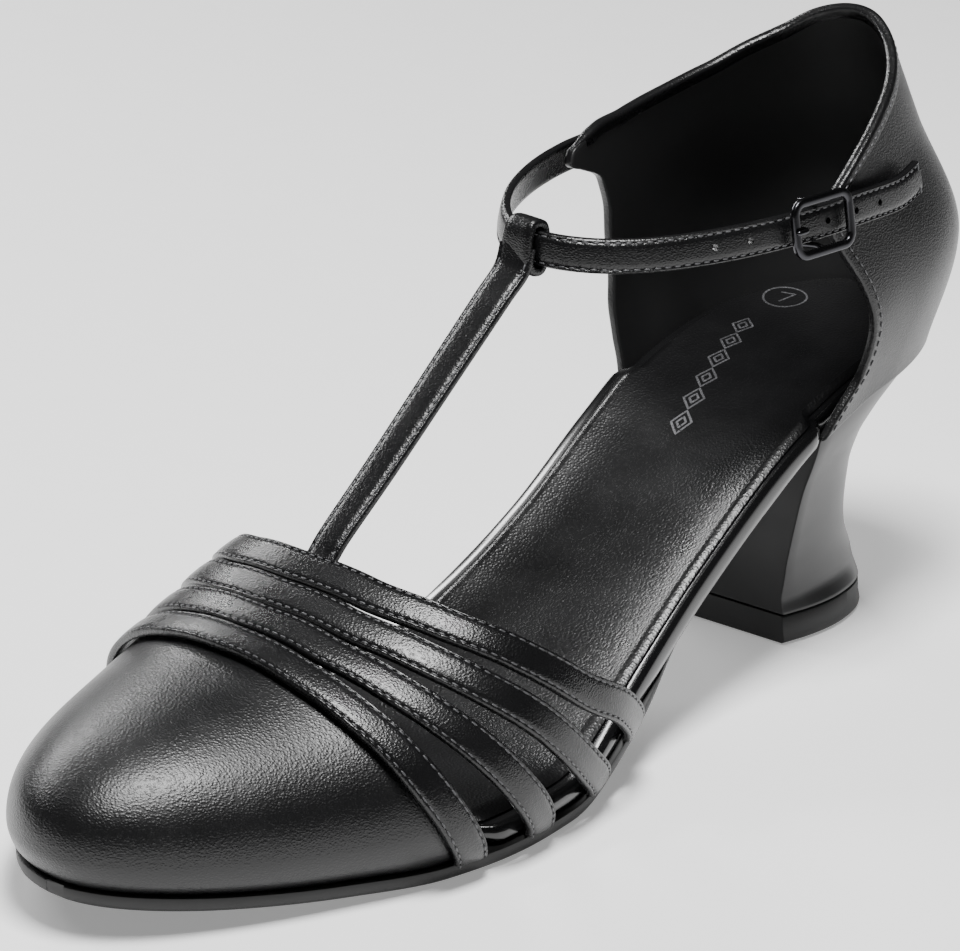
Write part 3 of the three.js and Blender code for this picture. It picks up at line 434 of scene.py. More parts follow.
@dataclass(frozen=True)
class WornFoil(Finish):
    """Silver foil stamped on the sock, broken where the grain's valleys took none."""

    bare: str = "#1b1b1d"

    def material(self) -> bpy.types.Material:
        """The finish as a Blender material."""
        made = bpy.data.materials.new(self.name)
        made.use_nodes = True
        tree = made.node_tree
        tree.nodes.clear()
        spot = node(tree, "ShaderNodeTexCoord")
        scaled = node(tree, "ShaderNodeMapping", {"Vector": spot.outputs["Object"], "Scale": (1 / MM,) * 3})
        flecks = node(tree, "ShaderNodeTexNoise", {"Vector": scaled.outputs[0], "Scale": 1 / self.cell, "Detail": 2.0})
        missing = node(tree, "ShaderNodeMapRange", {"Value": flecks.outputs["Fac"], "From Min": 0.36, "From Max": 0.46})
        tone = node(tree, "ShaderNodeMix", {"Factor": missing.outputs[0]}, data_type="RGBA")
        sockets = [s for s in tone.inputs if s.type == "RGBA"]
        sockets[0].default_value, sockets[1].default_value = linear(self.bare), linear(self.colour)
        shader = node(tree, "ShaderNodeBsdfPrincipled", {
            "Base Color": [s for s in tone.outputs if s.type == "RGBA"][0], "Roughness": self.roughness,
            "Metallic": missing.outputs[0], "IOR": self.ior})
        node(tree, "ShaderNodeOutputMaterial", {"Surface": shader.outputs[0]})
        return made


class Looks:
    """Every finish of the shoe, made once."""

    def __init__(self) -> None:
        """Make the materials."""
        # Polyurethane-coated synthetic leather, embossed: a satin film over fine creased cells.
        upper = Finish("pu_leather_upper", "#0b0b0c", "#111112", 0.34, grain=Grain.HAIR_CELL, cell=0.5, depth=0.08,
                       stretch=(0.8, 1.0, 1.25))
        self.upper = upper.material()
        # The same film on the narrow straps: pulled tight over a tape, so it shines more.
        self.strap = replace(upper, name="pu_leather_straps", roughness=0.27, cell=0.45, depth=0.075).material()
        # Film folded round the board's edge and ironed smooth: patent-like gloss with no grain.
        self.rand = Finish("pu_film_rand", "#0a0a0b", "#0f0f10", 0.2, 0.04, coat=0.35, coat_roughness=0.12,
                           depth=0.004, cell=1.4).material()
        # Sock sheet with a coarser round pebble and a soft shine.
        self.sock = Finish("pebbled_sock", "#0a0a0b", "#0f0f10", 0.3, grain=Grain.PEBBLE, cell=0.55,
                           depth=0.05).material()
        # Lining: brushed textile-backed film, nearly without shine.
        self.lining = Finish("matte_lining", "#0d0d0e", "#121213", 0.62, grain=Grain.MATTE, cell=0.35,
                             depth=0.02).material()
        # Injection-moulded thermoplastic rubber: matte, with a faint moulded texture.
        self.resin = Finish("moulded_resin_sole", "#0c0c0c", "#111111", 0.55, grain=Grain.MATTE, cell=0.4,
                            depth=0.015).material()
        # Thin film wrapped round the plastic heel: no visible grain, an even satin.
        self.heel = Finish("pu_film_heel", "#0e0e0f", "#131314", 0.34, 0.04, grain=Grain.SATIN, cell=0.8,
                           depth=0.006).material()
        # Breast flap of the heel: the same film's matte back.
        self.breast = Finish("matte_breast_flap", "#0a0a0b", "#0e0e0f", 0.6, grain=Grain.MATTE, cell=0.4,
                             depth=0.012).material()
        # Hard rubber top lift, cut and buffed.
        self.lift = Finish("buffed_rubber_lift", "#0f0f0f", "#141414", 0.5, grain=Grain.MATTE, cell=0.5,
                           depth=0.015).material()
        # Twisted polyester thread, slightly glossy. Its grey colour is a painted highlight: lighter than the black
        # thread, so that each stitch shows as a small bright bead.
        self.thread = Finish("thread_painted_glint_grey", "#3c3c3e", "#5a5a5c", 0.3, cell=0.12, depth=0.02).material()
        # Zinc die-cast with black nickel plating, barrel polished.
        self.gunmetal = Finish("black_nickel_plate", "#3c3c3e", "#47474a", 0.22, 0.05, metallic=1.0, cell=0.8,
                               depth=0.002).material()
        # Hot-stamped silver foil.
        self.foil = WornFoil("silver_foil_stamp", "#c4c4c8", "#c4c4c8", 0.32, cell=0.45).material()
        # Needle and punch holes show nothing but shade.
        self.shade = Finish("hole_shade", "#050505", "#070707", 0.8).material()


# ---------------------------------------------------------------- mesh making


def grid_faces(rows: int, columns: int, closed: bool = False) -> list[tuple[int, ...]]:
    """Quads of a grid of points.

    Args:
        rows: number of rows.
        columns: number of points in a row.
        closed: whether each row closes on itself.

    Returns:
        Faces by point number.
    """
    last = columns if closed else columns - 1
    return [(r * columns + c, r * columns + (c + 1) % columns, (r + 1) * columns + (c + 1) % columns,
             (r + 1) * columns + c) for r in range(rows - 1) for c in range(last)]


def solid_object(name: str, points: Array, faces: Sequence[Sequence[int]], finish: bpy.types.Material,
                 outward: Array | None = None, sharp: float = 38.0) -> bpy.types.Object:
    """Make a mesh object of points in millimetres.

    Args:
        name: the piece's name.
        points: points, in millimetres.
        faces: faces by point number.
        finish: its material.
        outward: direction that the first face of an open sheet should face; a closed mesh needs none.
        sharp: edges sharper than this many degrees stay crisp.

    Returns:
        The new object.
    """
    mesh = bpy.data.meshes.new(name)
    mesh.from_pydata((np.asarray(points, float).reshape(-1, 3) * MM).tolist(), [], [tuple(map(int, f)) for f in faces])
    work = bmesh.new()
    work.from_mesh(mesh)
    bmesh.ops.remove_doubles(work, verts=work.verts, dist=2e-6)
    bmesh.ops.dissolve_degenerate(work, edges=work.edges, dist=1e-7)
    bmesh.ops.recalc_face_normals(work, faces=work.faces)
    if outward is not None:
        work.normal_update()
        middle = sum((f.normal * f.calc_area() for f in work.faces), Vector())
        if middle.dot(Vector(outward)) < 0:
            bmesh.ops.reverse_faces(work, faces=work.faces)
    work.to_mesh(mesh)
    work.free()
    mesh.materials.append(finish)
    made = bpy.data.objects.new(name, mesh)
    bpy.context.scene.collection.objects.link(made)
    smooth(made, sharp)
    return made


def smooth(piece: bpy.types.Object, sharp: float) -> None:
    """Shade smooth, with edges sharper than a number of degrees left crisp."""
    piece.data.polygons.foreach_set("use_smooth", [True] * len(piece.data.polygons))
    piece.data.set_sharp_from_angle(angle=math.radians(sharp))


def settle(piece: bpy.types.Object, sharp: float = 38.0) -> bpy.types.Object:
    """Turn the piece's modifiers into plain mesh.

    Args:
        piece: object with modifiers.
        sharp: edges sharper than this many degrees stay crisp.

    Returns:
        The same object.
    """
    bpy.context.view_layer.update()
    evaluated = piece.evaluated_get(bpy.context.evaluated_depsgraph_get())
    mesh = bpy.data.meshes.new_from_object(evaluated, preserve_all_data_layers=True,
                                           depsgraph=bpy.context.evaluated_depsgraph_get())
    piece.modifiers.clear()
    old, piece.data = piece.data, mesh
    bpy.data.meshes.remove(old)
    mesh.name = piece.name
    smooth(piece, sharp)
    return piece


def wall_object(name: str, grid: Array, thickness: float, outer: bpy.types.Material, inner: bpy.types.Material,
                outward: Array, edge: float) -> bpy.types.Object:
    """Hollow wall behind an outer face, with rounded edges.

    Args:
        name: the piece's name.
        grid: outer face, rows by columns of points in millimetres.
        thickness: wall, in millimetres.
        outer: material of the outer face.
        inner: material of the lining.
        outward: rough direction that the outer face looks, summed over the face.
        edge: radius of the edges, in millimetres.

    Returns:
        The new object.
    """
    rows, columns = grid.shape[:2]
    piece = solid_object(name, grid, grid_faces(rows, columns), outer, outward)
    piece.data.materials.append(inner)
    thick = piece.modifiers.new("wall", "SOLIDIFY")
    thick.thickness, thick.offset, thick.use_even_offset = thickness * MM, -1.0, True
    thick.material_offset, thick.material_offset_rim = 1, 0
    rounded = piece.modifiers.new("edge", "BEVEL")
    rounded.width, rounded.segments, rounded.limit_method = edge * MM, 3, "ANGLE"
    rounded.angle_limit = math.radians(55)
    return settle(piece)


@dataclass
class Strip:
    """Stations of a strap: middle, direction, width direction, outward direction and half sizes."""

    at: Array
    run: Array
    across: Array
    out: Array
    half: Array
    depth: Array

    def point(self, share: Array | float, level: Array | float) -> Array:
        """Points at a share of the half width and a share of the half thickness."""
        wide = np.asarray(share)[..., None] * self.across * self.half[:, None]
        return self.at + wide + np.asarray(level)[..., None] * self.out * self.depth[:, None]

    def tilted(self, degrees: float) -> "Strip":
        """The same strap turned about its own length, most at its middle."""
        turn = np.radians(degrees) * np.sin(np.linspace(0, np.pi, len(self.at)))[:, None]
        across = self.across * np.cos(turn) + self.out * np.sin(turn)
        return replace(self, across=across, out=self.out * np.cos(turn) - self.across * np.sin(turn))


# Section of a strap whose edges are folded under and stitched: (share of half width, share of half thickness).
FOLDED = ((1.0, -0.55), (1.01, -0.1), (0.985, 0.3), (0.94, 0.62), (0.88, 0.78), (0.82, 0.74), (0.765, 0.6),
          (0.7, 0.76), (0.6, 0.9), (0.42, 0.97), (0.2, 1.0))
UNDERSIDE = ((0.2, -0.96), (0.7, -1.0), (0.93, -0.98), (0.985, -0.82))
STITCH_LINE = 0.765


def strap_section() -> Array:
    """Closed section of a folded strap, from one underside to the other."""
    half = list(UNDERSIDE) + list(FOLDED)
    return np.array(half + [(-a, b) for a, b in reversed(half)])


def strap_object(name: str, strip: Strip, finish: bpy.types.Material, pitch: float = 0.0,
                 floor: Callable[[Array], Array] | None = None) -> bpy.types.Object:
    """Sweep a folded strap.

    Args:
        name: the piece's name.
        strip: its stations.
        finish: its material.
        pitch: stitch spacing that puckers its stitch lines, or 0 for none.
        floor: lowest z for points, which trims the feet on the sole.

    Returns:
        The new object.
    """
    section = strap_section()
    count = len(strip.at)
    distance = np.r_[0, np.cumsum(np.linalg.norm(np.diff(strip.at, axis=0), axis=1))]
    points = []
    for share, level in section:
        dip = 0.0
        if pitch and level > 0:
            near = math.exp(-(((abs(share) - STITCH_LINE) / 0.09) ** 2))
            dip = 0.14 * near * (0.5 + 0.5 * np.cos(2 * np.pi * distance / pitch))
        points.append(strip.point(np.full(count, share), level - dip))
    grid = np.stack(points, 1)
    if floor is not None:
        grid[..., 2] = np.maximum(grid[..., 2], floor(grid))
    size = len(section)
    faces = grid_faces(count, size, closed=True)
    faces += [tuple(range(size)), tuple((count - 1) * size + i for i in reversed(range(size)))]
    return solid_object(name, grid, faces, finish, sharp=50.0)


def rod_object(name: str, points: Array, radii: Array, finish: bpy.types.Material, sides: int = 16,
               closed: bool = False) -> bpy.types.Object:
    """Round rod or ring along points.

    Args:
        name: the piece's name.
        points: middle line, in millimetres.
        radii: radius at each point.
        finish: its material.
        sides: points round the rod.
        closed: whether the rod closes on itself.

    Returns:
        The new object.
    """
    count = len(points)
    if closed:
        run = unit(np.roll(points, -1, 0) - np.roll(points, 1, 0))
    else:
        run = unit(np.gradient(points, axis=0))
    normal = unit(np.cross(run[0], [0.31, 0.52, 0.79]))
    frames = []
    for direction in run:
        normal = unit(normal - direction * (normal @ direction))
        frames.append((normal, np.cross(direction, normal)))
    angle = 2 * np.pi * np.arange(sides) / sides
    grid = np.array([p + r * (np.cos(angle)[:, None] * a + np.sin(angle)[:, None] * b)
                     for p, r, (a, b) in zip(points, radii, frames)])
    if closed:
        grid = np.concatenate([grid, grid[:1]])
        return solid_object(name, grid, grid_faces(count + 1, sides, closed=True), finish)
    faces = grid_faces(count, sides, closed=True)
    faces += [tuple(range(sides)), tuple((count - 1) * sides + i for i in reversed(range(sides)))]
    return solid_object(name, grid, faces, finish)


# ---------------------------------------------------------------- stitches


@dataclass
class StitchRows:
    """Rows of stitches, laid by Geometry Nodes on beds of points with their own directions."""

    pitch: float = 1.9
    length: float = 1.35
    width: float = 0.4
    points: list[Array] = field(default_factory=list)
    runs: list[Array] = field(default_factory=list)
    normals: list[Array] = field(default_factory=list)

    def add(self, line: Array, normals: Array, start: float = 0.0, stop: float = 0.0) -> None:
        """Lay one row.

        Args:
            line: points of the row, in millimetres.
            normals: outward direction at each point.
            start: length left bare at the start.
            stop: length left bare at the end.
        """
        marks = np.r_[0, np.cumsum(np.linalg.norm(np.diff(line, axis=0), axis=1))]
        number = max(2, int((marks[-1] - start - stop) / self.pitch))
        places = np.linspace(start, marks[-1] - stop, number)
        spot = np.stack([np.interp(places, marks, line[:, k]) for k in range(3)], -1)
        ahead = np.stack([np.interp(places + 0.3, marks, line[:, k]) for k in range(3)], -1)
        behind = np.stack([np.interp(places - 0.3, marks, line[:, k]) for k in range(3)], -1)
        self.points.append(spot)
        self.runs.append(unit(ahead - behind))
        self.normals.append(unit(np.stack([np.interp(places, marks, normals[:, k]) for k in range(3)], -1)))

    def tree(self, thread: bpy.types.Material) -> bpy.types.NodeTree:
        """Geometry Nodes tree that lays a small bead of thread on each point.

        Args:
            thread: the thread's material.

        Returns:
            The node tree.
        """
        made = bpy.data.node_groups.new("stitch_rows", "GeometryNodeTree")
        face = made.interface
        face.new_socket("Geometry", in_out="INPUT", socket_type="NodeSocketGeometry")
        for label in ("Stitch length", "Stitch width", "Stitch height"):
            face.new_socket(label, in_out="INPUT", socket_type="NodeSocketFloat")
        face.new_socket("Geometry", in_out="OUTPUT", socket_type="NodeSocketGeometry")
        given = node(made, "NodeGroupInput")
        run = node(made, "GeometryNodeInputNamedAttribute", {"Name": "run"}, data_type="FLOAT_VECTOR")
        normal = node(made, "GeometryNodeInputNamedAttribute", {"Name": "lift"}, data_type="FLOAT_VECTOR")
        bead = node(made, "GeometryNodeMeshUVSphere", {"Segments": 8, "Rings": 5, "Radius": 0.5})
        size = node(made, "ShaderNodeCombineXYZ", {"X": given.outputs["Stitch length"],
                                                   "Y": given.outputs["Stitch width"],
                                                   "Z": given.outputs["Stitch height"]})
        shaped = node(made, "GeometryNodeTransform", {"Geometry": bead.outputs["Mesh"], "Scale": size.outputs[0]})
        along = node(made, "FunctionNodeAlignRotationToVector", {"Vector": run.outputs[0]}, axis="X")
        turned = node(made, "FunctionNodeAlignRotationToVector",
                      {"Rotation": along.outputs[0], "Vector": normal.outputs[0]}, axis="Z", pivot_axis="X")
        laid = node(made, "GeometryNodeInstanceOnPoints", {
            "Points": given.outputs["Geometry"], "Instance": shaped.outputs[0], "Rotation": turned.outputs[0]})
        real = node(made, "GeometryNodeRealizeInstances", {"Geometry": laid.outputs[0]})
        dressed = node(made, "GeometryNodeSetMaterial", {"Geometry": real.outputs[0], "Material": thread})
        node(made, "NodeGroupOutput", {"Geometry": dressed.outputs[0]})
        return made

    def build(self, name: str, thread: bpy.types.Material) -> bpy.types.Object:
        """Make all the rows one mesh.

        Args:
            name: the piece's name.
            thread: the thread's material.

        Returns:
            The new object.
        """
        points, runs, normals = (np.vstack(part) for part in (self.points, self.runs, self.normals))
        mesh = bpy.data.meshes.new(name)
        mesh.from_pydata((points * MM).tolist(), [], [])
        for key, value in (("run", runs), ("lift", normals)):
            mesh.attributes.new(key, "FLOAT_VECTOR", "POINT").data.foreach_set("vector", value.ravel())
        piece = bpy.data.objects.new(name, mesh)
        bpy.context.scene.collection.objects.link(piece)
        laying = piece.modifiers.new("stitches", "NODES")
        laying.node_group = self.tree(thread)
        sizes = {"Stitch length": self.length, "Stitch width": self.width, "Stitch height": self.width * 0.8}
        for item in laying.node_group.interface.items_tree:
            if item.name in sizes:
                laying[item.identifier] = sizes[item.name] * MM
        return settle(piece, 180.0)


class Slot(Enum):
    """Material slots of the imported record."""

    UPPER = "upper_leather"
    RAND = "rand"
    SOCK = "sock"
    SOLE = "sole_leather"
    HEEL = "heel_cover"
    TIP = "tip_rubber"
    METAL = "buckle_metal"


def seat(piece: bpy.types.Object, slot: Slot, *stands_for: str) -> None:
    """Fix a finished piece to the shoe's one body.

    Args:
        piece: the piece.
        slot: the record's slot; not used.
        stands_for: CAD nodes that it replaces.
    """
    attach(piece, "root")
    if stands_for:
        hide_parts(*stands_for)
    LOG.info("%s: %d faces", piece.name, len(piece.data.polygons))


# ---------------------------------------------------------------- bottom


@dataclass
class Bottom:
    """Outsole, wrapped insole board and sock with its stamped marks."""

    looks: Looks
    clearance: float = 0.3
    sole: float = 3.0
    waist: float = 1.7
    margin: float = 1.0
    waist_inset: float = 1.5
    board: float = 2.0
    rim: float = 3.6
    upper_seat: float = 2.4
    sock: float = 1.2
    breast: float = 15.9
    stations: int = 170

    def along(self, start: float, stop: float) -> Array:
        """Stations, closer together at both ends."""
        return mix(start, stop, (1 - np.cos(np.linspace(0, np.pi, self.stations))) / 2)

    def loft(self, name: str, rings: Array, finish: bpy.types.Material) -> bpy.types.Object:
        """Closed piece through rings of points."""
        count, size = rings.shape[:2]
        faces = grid_faces(count, size, closed=True)
        faces += [tuple(range(size)), tuple((count - 1) * size + i for i in reversed(range(size)))]
        return solid_object(name, rings, faces, finish)

    def outsole(self) -> bpy.types.Object:
        """Thin sole with softly rounded edges."""
        start = (LAST.seat_back + self.breast + 0.4) / LAST.length
        along = self.along(start, 0.9996)
        narrow = 1 - ease((along - 0.42) / 0.1)
        margin = mix(self.margin, -self.waist_inset, narrow)
        thick = mix(self.sole, self.waist, narrow)
        half = [(-0.75, 0.02), (-0.3, 0.16), (-0.06, 0.36), (0.0, 0.6), (0.0, 0.8), (-0.07, 0.94), (-0.3, 1.0)]
        left = []
        for back, level in half:
            points = LAST.feather(along, 1.0, -margin - back)
            points[:, 2] += mix(-thick, -self.clearance, level)
            left.append(points)
        right = []
        for back, level in reversed(half):
            points = LAST.feather(along, -1.0, -margin - back)
            points[:, 2] += mix(-thick, -self.clearance, level)
            right.append(points)
        return self.loft("outsole_skin", np.stack(left + right, 1), self.looks.resin)

    def board_height(self, along: Array, share: Array | float) -> Array:
        """Height of the board's top over the feather line at a share of its half width."""
        return self.board + self.rim * RIM.read(along, "share") * np.abs(share) ** 3

    def board_skin(self) -> bpy.types.Object:
        """Board wrapped in film, with a rounded shoulder all round."""
        along = self.along(0.0015, 0.9985)
        inset = self.upper_seat * COVER.read(along, "share")
        full = self.board_height(along, 1.0)
        side = [(0.93, 0.0), (0.98, 0.03), (0.997, 0.16), (1.002, 0.4), (1.0, 0.62), (0.993, 0.79), (0.981, 0.91),
                (0.965, 0.975)]
        top = (0.945, 0.92, 0.88, 0.83, 0.77, 0.7, 0.55, 0.3, 0.1)
        ring = []
        for sign in (1, -1):
            half = []
            for share, level in side:
                points = LAST.feather(along, sign * share, inset)
                points[:, 2] += full * level
                half.append(points)
            for share in top:
                points = LAST.feather(along, sign * share, inset)
                points[:, 2] += self.board_height(along, share)
                half.append(points)
            ring += half if sign > 0 else half[::-1]
        return self.loft("insole_board_skin", np.stack(ring, 1), self.looks.rand)

    def sock_point(self, along: Array | float, share: Array | float, lift: Array | float = 0.0) -> Array:
        """Points on the sock's upper face."""
        along = np.asarray(along, float)
        inset = self.upper_seat * COVER.read(along, "share")
        points = LAST.feather(along, share, inset)
        edge = ease((0.9 - np.abs(share)) / 0.07)
        points[..., 2] += self.board_height(along, share) + mix(0.45, self.clearance + self.sock, edge) + lift
        return points

    def sock_skin(self) -> bpy.types.Object:
        """Sock sheet, thin at its edge and softly padded in the middle."""
        along = self.along(0.006, 0.93)
        shares = np.array([0.893, 0.9, 0.893, 0.87, 0.84, 0.8, 0.74, 0.66, 0.56, 0.44, 0.3, 0.15, 0.0])
        lifts = np.array([-0.42, -0.22, -0.05, 0, 0, 0, 0, 0, 0, 0, 0, 0, 0])
        shares = np.r_[shares, -shares[:-1][::-1]]
        lifts = np.r_[lifts, lifts[:-1][::-1]]
        top = np.stack([self.sock_point(along, s, d) for s, d in zip(shares, lifts)], 1)
        low = np.stack([LAST.feather(along, s, self.upper_seat * COVER.read(along, "share"))
                        + np.stack([0 * along, 0 * along, self.board_height(along, s) + 0.03], -1)
                        for s in (-0.6, 0.0, 0.6)], 1)
        return self.loft("insole_sock", np.concatenate([top, low], 1), self.looks.sock)

    def on_sock(self, x: Array, y: Array) -> Array:
        """Points of the sock's face under plan places."""
        shrunk = (LAST.seat_back - y) / LAST.length
        along = shrunk
        for _ in range(8):
            inset = self.upper_seat * COVER.read(along, "share")
            along = 0.5 + (shrunk - 0.5) / (1 - 2 * inset / LAST.length)
        outer, inner = LAST.feather(along, 1.0, inset), LAST.feather(along, -1.0, inset)
        share = 2 * (x - inner[..., 0]) / (outer[..., 0] - inner[..., 0]) - 1
        points = self.sock_point(along, share, 0.05)
        points[..., 0], points[..., 1] = x, y
        return points

    def foil_line(self, outline: Array, width: float, closed: bool) -> tuple[Array, list[tuple[int, ...]]]:
        """Flat foil ribbon on the sock along a line in plan.

        Args:
            outline: plan points, in millimetres.
            width: the ribbon's width.
            closed: whether the line closes on itself.

        Returns:
            Points and faces.
        """
        if closed:
            run = unit(np.roll(outline, -1, 0) - np.roll(outline, 1, 0))
        else:
            run = unit(np.gradient(outline, axis=0))
        side = np.stack([run[:, 1], -run[:, 0]], -1) * width / 2
        edges = [outline + side, outline - side]
        top = [self.on_sock(e[:, 0], e[:, 1]) for e in edges]
        low = [t - [0, 0, 0.06] for t in top]
        ring = np.stack([low[0], top[0], top[1], low[1]], 1)
        count = len(outline)
        if closed:
            return np.concatenate([ring, ring[:1]]).reshape(-1, 3), grid_faces(count + 1, 4, closed=True)
        faces = grid_faces(count, 4, closed=True) + [(0, 1, 2, 3), tuple((count - 1) * 4 + i for i in (3, 2, 1, 0))]
        return ring.reshape(-1, 3), faces

    def marks(self) -> bpy.types.Object:
        """Stamped ring with a plain size number, and a plain chain of lozenges."""
        lines: list[tuple[Array, bool]] = []
        turn = np.linspace(0, 2 * np.pi, 72, endpoint=False)
        centre = np.array([-8.6, 19.6])
        lines.append((centre + 4.3 * np.stack([np.cos(turn), np.sin(turn)], -1), True))
        heading = unit(np.array([10.6, -36.7]))
        cross = np.array([-heading[1], heading[0]])

        def line(*corners: tuple[float, float]) -> Array:
            """Points along straight strokes, given as (down the sock, across it)."""
            knots = np.array(corners)
            parts = [mix(a, b, np.linspace(0, 1, 9)[:, None]) for a, b in zip(knots[:-1], knots[1:])]
            return np.vstack([parts[0], *[p[1:] for p in parts[1:]]])

        number = line((-1.9, -1.5), (-1.9, 1.5), (2.1, -0.5))
        lines.append((centre + number[:, :1] * heading + number[:, 1:] * cross, False))
        start = np.array([-9.0, 8.4])
        for index in range(6):
            middle = start + heading * (3.2 + 6.3 * index)
            for scale in (1.0, 0.45):
                shape = line((-2.9 * scale, 0), (0, 2.1 * scale), (2.9 * scale, 0), (0, -2.1 * scale), (-2.9 * scale, 0))
                lines.append((middle + shape[:-1, :1] * heading + shape[:-1, 1:] * cross, True))
        points, faces, offset = [], [], 0
        for outline, closed in lines:
            some, quads = self.foil_line(outline, 0.42, closed)
            points.append(some)
            faces += [tuple(i + offset for i in quad) for quad in quads]
            offset += len(some)
        return solid_object("sock_foil_marks", np.vstack(points), faces, self.looks.foil)

    def build(self) -> None:
        """Make and seat the bottom's pieces."""
        seat(self.outsole(), Slot.SOLE, "outsole")
        seat(self.board_skin(), Slot.RAND, "insole_board")
        seat(self.sock_skin(), Slot.SOCK, "insole")
        seat(self.marks(), Slot.SOCK)


@dataclass
class HeelBlock:
    """Covered heel with its matte breast, and the rubber top lift."""

    looks: Looks
    tip: float = 5.5
    breast: float = 15.9
    hollow: float = 2.0
    clearance: float = 0.3
    levels: int = 60

    def ring(self, up: float, wide: float, back: float, power: float, front: float,
             height: Callable[[Array], Array], hollow: float) -> Array:
        """One level of the heel.

        Args:
            up: share of the heel's height.
            wide: half width, in millimetres.
            back: y of the back, in millimetres.
            power: roundness of the back.
            front: share of the half width left at the breast.
            height: z for y stretched to the seat.
            hollow: depth of the breast's hollow at mid height.

        Returns:
            Ring of points.
        """
        shares = np.array([0.2, 0.45, 0.7, 0.88, 0.97])
        dent = hollow * (1 - shares**2) * 4 * up * (1 - up)
        angle = np.linspace(0, np.pi / 2, 34)[:-1]
        x = np.r_[shares, np.cos(angle) ** (2 / power)] * wide
        y = np.r_[-self.breast + dent, mix(-self.breast, back, np.sin(angle) ** (2 / power))]
        place = (y + self.breast) / (back + self.breast)
        x = x * mix(1.0, front, np.clip(1 - 2 * place, 0, 1) ** 2)
        z = height(mix(-self.breast, LAST.seat_back, place))
        half = np.stack([LAST.seat_shift + x, y, z], -1)
        other = half.copy()
        other[:, 0] = 2 * LAST.seat_shift - other[:, 0]
        end = np.array([[LAST.seat_shift, y[-1] + (back - y[-1]), z[-1]]])
        return np.vstack([half, end, other[::-1]])

    def block(self) -> bpy.types.Object:
        """Heel from the top lift to the seat, with softened edges."""
        base = self.tip + self.clearance

        def seat_z(y: Array) -> Array:
            """Underside of the seat."""
            return LAST.height((LAST.seat_back - y) / LAST.length) - self.clearance

        rings = []
        for up in np.linspace(0, 1, self.levels):
            wide, back, power, front = (float(HEEL_SECTIONS.read(up, key)) for key in ("wide", "back", "power", "front"))
            rings.append(self.ring(up, 0.3125 * LAST.ball_width * wide, LAST.seat_back * back, power, front,
                                   lambda y, u=up: mix(base, seat_z(y), u), self.hollow))
        return self.capped("heel_cover", np.array(rings), self.looks.heel)

    def capped(self, name: str, rings: Array, finish: bpy.types.Material) -> bpy.types.Object:
        """Closed heel piece with a matte breast and bevelled edges."""
        count, size = rings.shape[:2]
        faces = grid_faces(count, size, closed=True)
        faces += [tuple(range(size)), tuple((count - 1) * size + i for i in reversed(range(size)))]
        piece = solid_object(name, rings, faces, finish)
        piece.data.materials.append(self.looks.breast)
        for face in piece.data.polygons:
            if face.normal.y < -0.8 and abs(face.normal.z) < 0.5:
                face.material_index = 1
        soft = piece.modifiers.new("edge", "BEVEL")
        soft.width, soft.segments, soft.limit_method = 0.35 * MM, 2, "ANGLE"
        soft.angle_limit = math.radians(45)
        return settle(piece, 45.0)

    def lift(self) -> bpy.types.Object:
        """Rubber top lift under the heel."""
        wide = 0.3125 * LAST.ball_width * 0.79
        back = LAST.seat_back * 0.43
        rows = [(0.985, 0.0), (1.01, 0.3), (1.015, 0.9), (1.0, 2.6), (0.992, self.tip - 0.3), (0.975, self.tip)]
        rings = [self.ring(0.0, wide * s, back * s, 3.4, 0.88, lambda y, z=z: np.full(np.shape(y), z), 0.0)
                 for s, z in rows]
        return self.capped("top_lift", np.array(rings), self.looks.lift)

    def build(self) -> None:
        """Make and seat the heel's pieces."""
        seat(self.block(), Slot.HEEL, "heel")
        seat(self.lift(), Slot.TIP, "heel_tip")


# ---------------------------------------------------------------- upper


